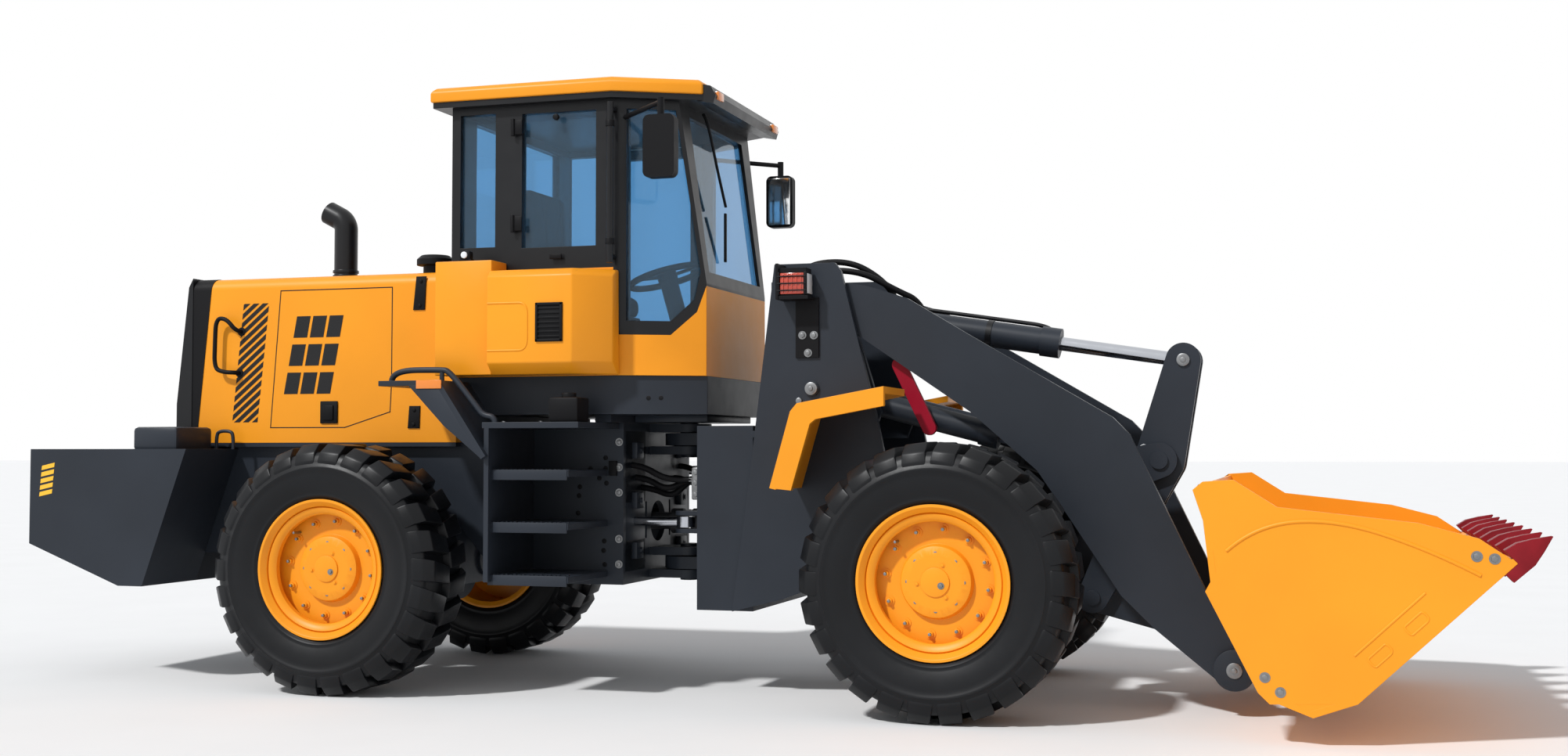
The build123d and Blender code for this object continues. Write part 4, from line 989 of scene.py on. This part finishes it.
class LOADER_OT_joint(bpy.types.Operator):
    """Fit the valve block, drive shafts, wall and hoses at the articulation"""

    bl_idname = "loader.joint"
    bl_label = "Articulation fittings"

    def execute(self, context):
        radius = context.scene.loader_sizes.hose
        valve, wall = forms(2)
        slab(valve, (-1318, -335, 905), (-1248, -180, 1060), 8.0)
        for z in (930, 985, 1035):
            cap(valve, (-1285, -335, z), RIGHT, 15, 28, 4.0, 20)
            bolt(valve, (-1285, -363, z), RIGHT, 12, 12)
        for y in (-215, -260, -305):
            cap(valve, (-1318, y, 1000), BACK, 17, 20, 3.0, 6)
        piece(valve, "valve_block", "front_body", "rod_chrome", "zinc_plate")
        self.shaft("rear_shaft", "rear_body", -2095, 620, 42, -1535)
        self.shaft("front_shaft", "front_body", -1425, 1205, 40, -1425)
        for side in SIDES:
            low, high = sorted((side * 170, side * 430))
            slab(wall, (-1640, low, 560), (-1618, high, 1235), 3.0)
            for level in (660, 900, 1140):
                slab(wall, (-1622, side * 300 - 45, level - 40), (-1590, side * 300 + 45, level + 40), 6.0)
                bolt(wall, (-1590, side * 300, level), FORWARD, 12, 9)
        slab(wall, (-1610, -330, 1276), (-1238, 330, 1309), 4.0)
        piece(wall, "joint_wall", "rear_body", "frame_slate")
        routes = {
            "hose_valve_low": [
                (-1625, -215, 960), (-1560, -215, 955), (-1450, -235, 915),
                (-1380, -218, 985), (-1338, -215, 1000), (-1310, -215, 1000),
            ],
            "hose_valve_middle": [
                (-1625, -290, 1010), (-1560, -290, 1005), (-1460, -300, 950),
                (-1385, -265, 985), (-1338, -260, 1000), (-1310, -260, 1000),
            ],
            "hose_valve_high": [
                (-1625, -345, 1070), (-1560, -345, 1065), (-1460, -350, 1010),
                (-1385, -312, 998), (-1338, -305, 1000), (-1310, -305, 1000),
            ],
            "hose_brake": [
                (-1625, 240, 1000), (-1560, 240, 995), (-1440, 260, 930),
                (-1320, 240, 985), (-1240, 240, 990),
            ],
            "hose_steer": [
                (-1625, 310, 1060), (-1560, 310, 1055), (-1440, 330, 985),
                (-1320, 310, 1045), (-1240, 310, 1050),
            ],
        }
        for name, route in routes.items():
            hose(name, route, radius, ("rear_body", "front_body"), (-1585, 0, 1000), (-1345, 0, 1000))
        return {"FINISHED"}

    def shaft(self, name, body, start, length, slim, yoke):
        """Drive shaft with its yoke at the pivot."""
        form = bmesh.new()
        cap(form, (start, 0, SHAFT_HEIGHT), FORWARD, slim, length, 4.0, 28)
        cap(form, (yoke, 0, SHAFT_HEIGHT), FORWARD, 62, 60, 8.0, 28)
        piece(form, name, body, "engine_iron")


class LOADER_OT_tower(bpy.types.Operator):
    """Fit the lamp lenses, pin caps and hoses of the tower"""

    bl_idname = "loader.tower"
    bl_label = "Tower fittings"

    def execute(self, context):
        lens, clear, guard, steel = forms(4)
        for side in SIDES:
            out = (0.0, side, 0.0)
            slab(lens, (-792, side * 590, 1850), (-680, side * 598, 1946), 3.0)
            for x in (-778, -757, -736, -715, -694):
                slab(lens, (x - 4, side * 597, 1856), (x + 4, side * 602, 1940), 2.0)
            slab(clear, (-672, side * 508, 1852), (-664, side * 584, 1944), 3.0)
            for z in (1866, 1898, 1930):
                pipe(guard, [(-806, side * 603, z), (-736, side * 604, z), (-668, side * 603, z)], 3.2, 3)
            for x in (-800, -672):
                slab(guard, (x - 6, side * 588, 1846), (x + 6, side * 604, 1950), 2.0)
            for x, z in ((-717, 1668), (-662, 1667), (-690, 1586)):
                bolt(steel, (x, side * TOWER_FACE, z), out, 12, 11)
            cap(steel, (-675, side * TOWER_FACE, 1422), out, 30, 10, 3.0)
            bolt(steel, (-675, side * (TOWER_FACE + 10), 1422), out, 12, 10)
            cap(steel, (-737, side * 480, 1367), out, 15, 10, 3.0, 24)
        piece(lens, "tower_lamp_lens", "front_body", "lamp_red")
        piece(clear, "tower_lamp_glass", "front_body", "lamp_housing", "white_lens")
        piece(guard, "tower_lamp_guard", "front_body", "lamp_housing")
        piece(steel, "tower_bolts", "front_body", "rod_chrome", "zinc_plate")
        radius = context.scene.loader_sizes.hose
        routes = {
            "hose_tilt_rear": [
                (-865, -60, 1895), (-862, -60, 2000), (-770, -60, 2050), (-600, -58, 2048),
                (-470, -45, 1975), (-385, -32, 1880), (-345, -20, 1758),
            ],
            "hose_tilt_front": [
                (-865, -115, 1885), (-862, -115, 1960), (-760, -115, 2004), (-540, -112, 1998),
                (-370, -80, 1900), (-262, -32, 1850), (-225, -15, 1740),
            ],
        }
        for name, route in routes.items():
            hose(name, route, radius, ("front_body", "boom_body"), (-800, 0, 2000), (-360, 0, 1840))
        return {"FINISHED"}


class LOADER_OT_linkage(bpy.types.Operator):
    """Fit the pin caps of the linkage, and the pipe and bands on the tilt cylinder"""

    bl_idname = "loader.linkage"
    bl_label = "Linkage fittings"

    def execute(self, context):
        pins, bucket_pins, tips, feed, bands = forms(5)
        for side in SIDES:
            out = (0.0, side, 0.0)
            flag = [(752, 1152), (780, 1168), (886, 1136), (900, 1088), (868, 1050), (815, 1058), (790, 1112)]
            plate(pins, flag, side * 85, side * 8, 2.0)
            cap(pins, (CRANK_PIN.x, side * 93, CRANK_PIN.z), out, 34, 24, 5.0)
            bolt(pins, (782, side * 93, 1140), out, 9, 9)
            cap(pins, (TILT_HEAD.x, side * 85, TILT_HEAD.z), out, 30, 12, 4.0)
            bolt(pins, (TILT_HEAD.x, side * 97, TILT_HEAD.z), out, 13, 10)
            cap(tips, (BUCKET_PIN.x, side * 471, BUCKET_PIN.z), out, 88, 8, 3.0, 48)
            cap(bucket_pins, (BUCKET_PIN.x, side * 470, BUCKET_PIN.z), out, 34, 16, 3.0)
            bolt(bucket_pins, (BUCKET_PIN.x, side * 486, BUCKET_PIN.z), out, 13, 10)
        piece(pins, "bellcrank_pin_caps", "bellcrank_body", "rod_chrome", "zinc_plate")
        piece(bucket_pins, "bucket_pin_caps", "bucket_body", "rod_chrome", "zinc_plate")
        piece(tips, "arm_tip_covers", "boom_body", "frame_slate")
        run = (TILT_HEAD - TILT_FOOT).normalized()
        up = Vector((-run.z, 0.0, run.x))
        root = TILT_FOOT + Vector((0.0, 40.0, 0.0))
        marks = [(140, 50), (150, 74), (400, 76), (800, 76), (985, 76), (1000, 50)]
        pipe(feed, [tuple(root + along * run + rise * up) for along, rise in marks], 10)
        piece(feed, "tilt_feed_pipe", "tilt_barrel_body", "cab_black")
        for along in (343, 713):
            spot = place(*(TILT_FOOT + along * run))
            bmesh.ops.create_cone(
                bands,
                cap_ends=False,
                segments=48,
                radius1=0.066,
                radius2=0.066,
                depth=0.026,
                matrix=Matrix.Translation(spot) @ facing(run),
            )
        bmesh.ops.solidify(bands, geom=bands.faces[:], thickness=0.008)
        piece(bands, "tilt_bands", "tilt_barrel_body", "cab_black")
        return {"FINISHED"}


class LOADER_OT_bucket(bpy.types.Operator):
    """Forge the pointed teeth, and fit the ribs, bolts and cutting edge of the bucket"""

    bl_idname = "loader.bucket"
    bl_label = "Bucket fittings"

    def execute(self, context):
        teeth, steel, ribs, edge = forms(4)
        for index in range(TEETH):
            self.tooth(teeth, TOOTH_PITCH * (index - 0.5 * (TEETH - 1)))
        claws = piece(teeth, "pointed_teeth", "bucket_body", "tooth_red", crease=30.0)
        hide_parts("bucket_teeth")
        heel = [(0, 0), (-160, 70), (-222, 200), (-110, 220)]
        brow = [(-110, 660), (20, 830), (90, 800), (0, 640)]
        bow = [(48, 745), (200, 742), (430, 560), (600, 240), (661, 55)]
        bead = [(x, 140) for x in (118, 300, 472)]
        slot = [(26, 57), (47, 57), (47, 99), (26, 99), (-26, 99), (-47, 99), (-47, 57), (-26, 57)]
        slot.append(slot[0])
        for side in SIDES:
            out = (0.0, side, 0.0)
            sunk = side * (BUCKET_FACE - 2)
            for x, z in ((1326, 264), (1383, 209), (2094, 742), (2156, 734)):
                bolt(steel, (x, side * BUCKET_FACE, z), out, 13, 7)
            for filler in (heel, brow):
                corners = [bucket_spot(x, 0, z) for x, z in filler]
                plate(ribs, [(x, z) for x, y, z in corners], side * (BUCKET_FACE - 1), side * -14)
            pipe(ribs, [bucket_spot(x, sunk, z) for x, z in bow], 8)
            pipe(ribs, [bucket_spot(x, sunk, z) for x, z in bead], 6)
            for middle in (189, 370):
                pipe(ribs, [bucket_spot(middle + x, sunk, z) for x, z in slot], 5)
        piece(steel, "bucket_bolts", "bucket_body", "rod_chrome", "zinc_plate")
        piece(ribs, "bucket_ribs", "bucket_body", "body_yellow")
        slab(edge, (0, -1080, 0), (110, 1080, 8), 2.0)
        turn = Matrix.Rotation(-BUCKET_TURN, 3, "Y")
        bmesh.ops.rotate(edge, verts=edge.verts[:], cent=place(0, 0, 0), matrix=turn)
        bmesh.ops.translate(edge, verts=edge.verts[:], vec=place(*bucket_spot(660, 0, 25)) - place(0, 0, 0))
        piece(edge, "cutting_edge", "bucket_body", "body_yellow")
        return {"FINISHED"}

    def tooth(self, form, middle):
        """One claw, level, drawn to a point and carried to the bucket's lip."""
        outline = [(727, -42), (727, 0), (787, 0), (787, 66), (838, 56), (890, 28), (945, -8), (948, -14)]
        outline += [(885, -32), (827, -45)]
        claw = bmesh.new()
        corners = [claw.verts.new(bucket_spot(x, -35, z)) for x, z in outline]
        extrude(claw, [claw.faces.new(corners)], (0.0, 70.0, 0.0))
        tip = Vector(bucket_spot(947, 0, -11))
        for vert in claw.verts:
            reach = (vert.co - tip).xz.length
            if reach < 10.0:
                vert.co.y *= 0.2
            elif reach < 90.0:
                vert.co.y *= 0.66
        bmesh.ops.recalc_face_normals(claw, faces=claw.faces[:])
        bmesh.ops.scale(claw, vec=(0.001, 0.001, 0.001), verts=claw.verts[:])
        bmesh.ops.translate(claw, verts=claw.verts[:], vec=(FRONT_AXLE, 0.001 * middle, 0.0))
        round_off(claw, sharp_edges(claw, 35.0), 2.5)
        join(form, claw)


class LOADER_OT_tail(bpy.types.Operator):
    """Paint the stripes on the counterweight, and fit its tow pin and lamp bezels"""

    bl_idname = "loader.tail"
    bl_label = "Tail fittings"

    def execute(self, context):
        stripes, tow, bezels = forms(3)
        for side in SIDES:
            for index in range(5):
                x = -4606 + 3 * index
                z = 912 + 33 * index
                bar = [(x, z), (x + 76, z + 16), (x + 79, z + 38), (x + 3, z + 22)]
                plate(stripes, bar, side * TAIL_FACE, side * 1.2)
        piece(stripes, "tail_stripes", "rear_body", "body_yellow", "warning_stripe")
        cap(tow, (TOW_PIN, 0, 1150), UP, 40, 22, 5.0)
        handle = [(-28, 1165), (-30, 1225), (0, 1260), (30, 1225), (28, 1165)]
        pipe(tow, [(TOW_PIN, y, z) for y, z in handle], 8)
        piece(tow, "tow_pin", "rear_body", "black_plastic")
        for side in SIDES:
            for z in (995, 1076):
                slab(bezels, (-4700, side * 555, z), (-4664, side * 765, z + 9), 2.0)
            for low, high in ((555, 564), (756, 765), (656, 664)):
                slab(bezels, (-4700, side * low, 1000), (-4664, side * high, 1080), 2.0)
        piece(bezels, "tail_lamp_bezels", "rear_body", "lamp_housing")
        return {"FINISHED"}


class LOADER_OT_stage(bpy.types.Operator):
    """Set the floor, light and camera"""

    bl_idname = "loader.stage"
    bl_label = "Stage"

    def execute(self, context):
        stage = context.scene.loader_stage
        form = bmesh.new()
        bmesh.ops.create_grid(form, x_segments=1, y_segments=1, size=150.0)
        finish("floor", (0.90, 0.90, 0.90), 0.9, spread=0.01)
        floor = show(form, "floor", "floor")
        world = bpy.data.worlds.new("sky")
        context.scene.world = world
        world.use_nodes = True
        nodes = world.node_tree.nodes
        links = world.node_tree.links
        sky = nodes["Background"]
        set_inputs(sky, {"Color": (0.93, 0.96, 1.0, 1.0), "Strength": stage.sky})
        white = nodes.new("ShaderNodeBackground")
        set_inputs(white, {"Color": (1.0, 1.0, 1.0, 1.0), "Strength": 1.0})
        path = nodes.new("ShaderNodeLightPath")
        seen = path.outputs["Is Camera Ray"]
        for ray in ("Is Glossy Ray", "Is Transmission Ray"):
            either = nodes.new("ShaderNodeMath")
            either.operation = "MAXIMUM"
            links.new(seen, either.inputs[0])
            links.new(path.outputs[ray], either.inputs[1])
            seen = either.outputs["Value"]
        mix = nodes.new("ShaderNodeMixShader")
        links.new(seen, mix.inputs["Fac"])
        links.new(sky.outputs["Background"], mix.inputs[1])
        links.new(white.outputs["Background"], mix.inputs[2])
        links.new(mix.outputs["Shader"], nodes["World Output"].inputs["Surface"])
        lamp = bpy.data.lights.new("sun", "SUN")
        lamp.energy = stage.sun
        lamp.angle = math.radians(4.0)
        sun = bpy.data.objects.new("sun", lamp)
        sun.rotation_mode = "QUATERNION"
        sun.rotation_quaternion = SUN_WAY.to_track_quat("-Z", "Y")
        context.scene.collection.objects.link(sun)
        lens = bpy.data.cameras.new("camera")
        lens.lens = stage.lens
        lens.sensor_width = 36.0
        camera = bpy.data.objects.new("camera", lens)
        camera.location = CAMERA_PLACE
        camera.rotation_euler = [math.radians(turn) for turn in CAMERA_TURN]
        context.scene.collection.objects.link(camera)
        context.scene.camera = camera
        context.scene.view_settings.view_transform = "Standard"
        return {"FINISHED"}


class LOADER_PT_panel(bpy.types.Panel):
    """Loader pieces"""

    bl_label = "Wheel loader"
    bl_idname = "LOADER_PT_panel"
    bl_space_type = "VIEW_3D"
    bl_region_type = "UI"
    bl_category = "Loader"

    def draw(self, context):
        for operator in OPERATORS:
            self.layout.operator(operator.bl_idname)


OPERATORS = (
    LOADER_OT_finishes,
    LOADER_OT_bodywork,
    LOADER_OT_wheels,
    LOADER_OT_hood,
    LOADER_OT_cab,
    LOADER_OT_seat,
    LOADER_OT_steps,
    LOADER_OT_joint,
    LOADER_OT_tower,
    LOADER_OT_linkage,
    LOADER_OT_bucket,
    LOADER_OT_tail,
    LOADER_OT_stage,
)
GROUPS = (LoaderPaint, LoaderSizes, LoaderStage)
CLASSES = (*GROUPS, *OPERATORS, LOADER_PT_panel)


def register():
    for item in CLASSES:
        bpy.utils.register_class(item)
    bpy.types.Scene.loader_paint = PointerProperty(type=LoaderPaint)
    bpy.types.Scene.loader_sizes = PointerProperty(type=LoaderSizes)
    bpy.types.Scene.loader_stage = PointerProperty(type=LoaderStage)


def unregister():
    del bpy.types.Scene.loader_stage
    del bpy.types.Scene.loader_sizes
    del bpy.types.Scene.loader_paint
    for item in reversed(CLASSES):
        bpy.utils.unregister_class(item)


def main():
    """Build every piece in order."""
    register()
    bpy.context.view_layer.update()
    bpy.ops.loader.finishes()
    bpy.ops.loader.bodywork()
    bpy.ops.loader.wheels()
    bpy.ops.loader.hood()
    bpy.ops.loader.cab()
    bpy.ops.loader.seat()
    bpy.ops.loader.steps()
    bpy.ops.loader.joint()
    bpy.ops.loader.tower()
    bpy.ops.loader.linkage()
    bpy.ops.loader.bucket()
    bpy.ops.loader.tail()
    bpy.ops.loader.stage()


if __name__ == "__main__":
    main()
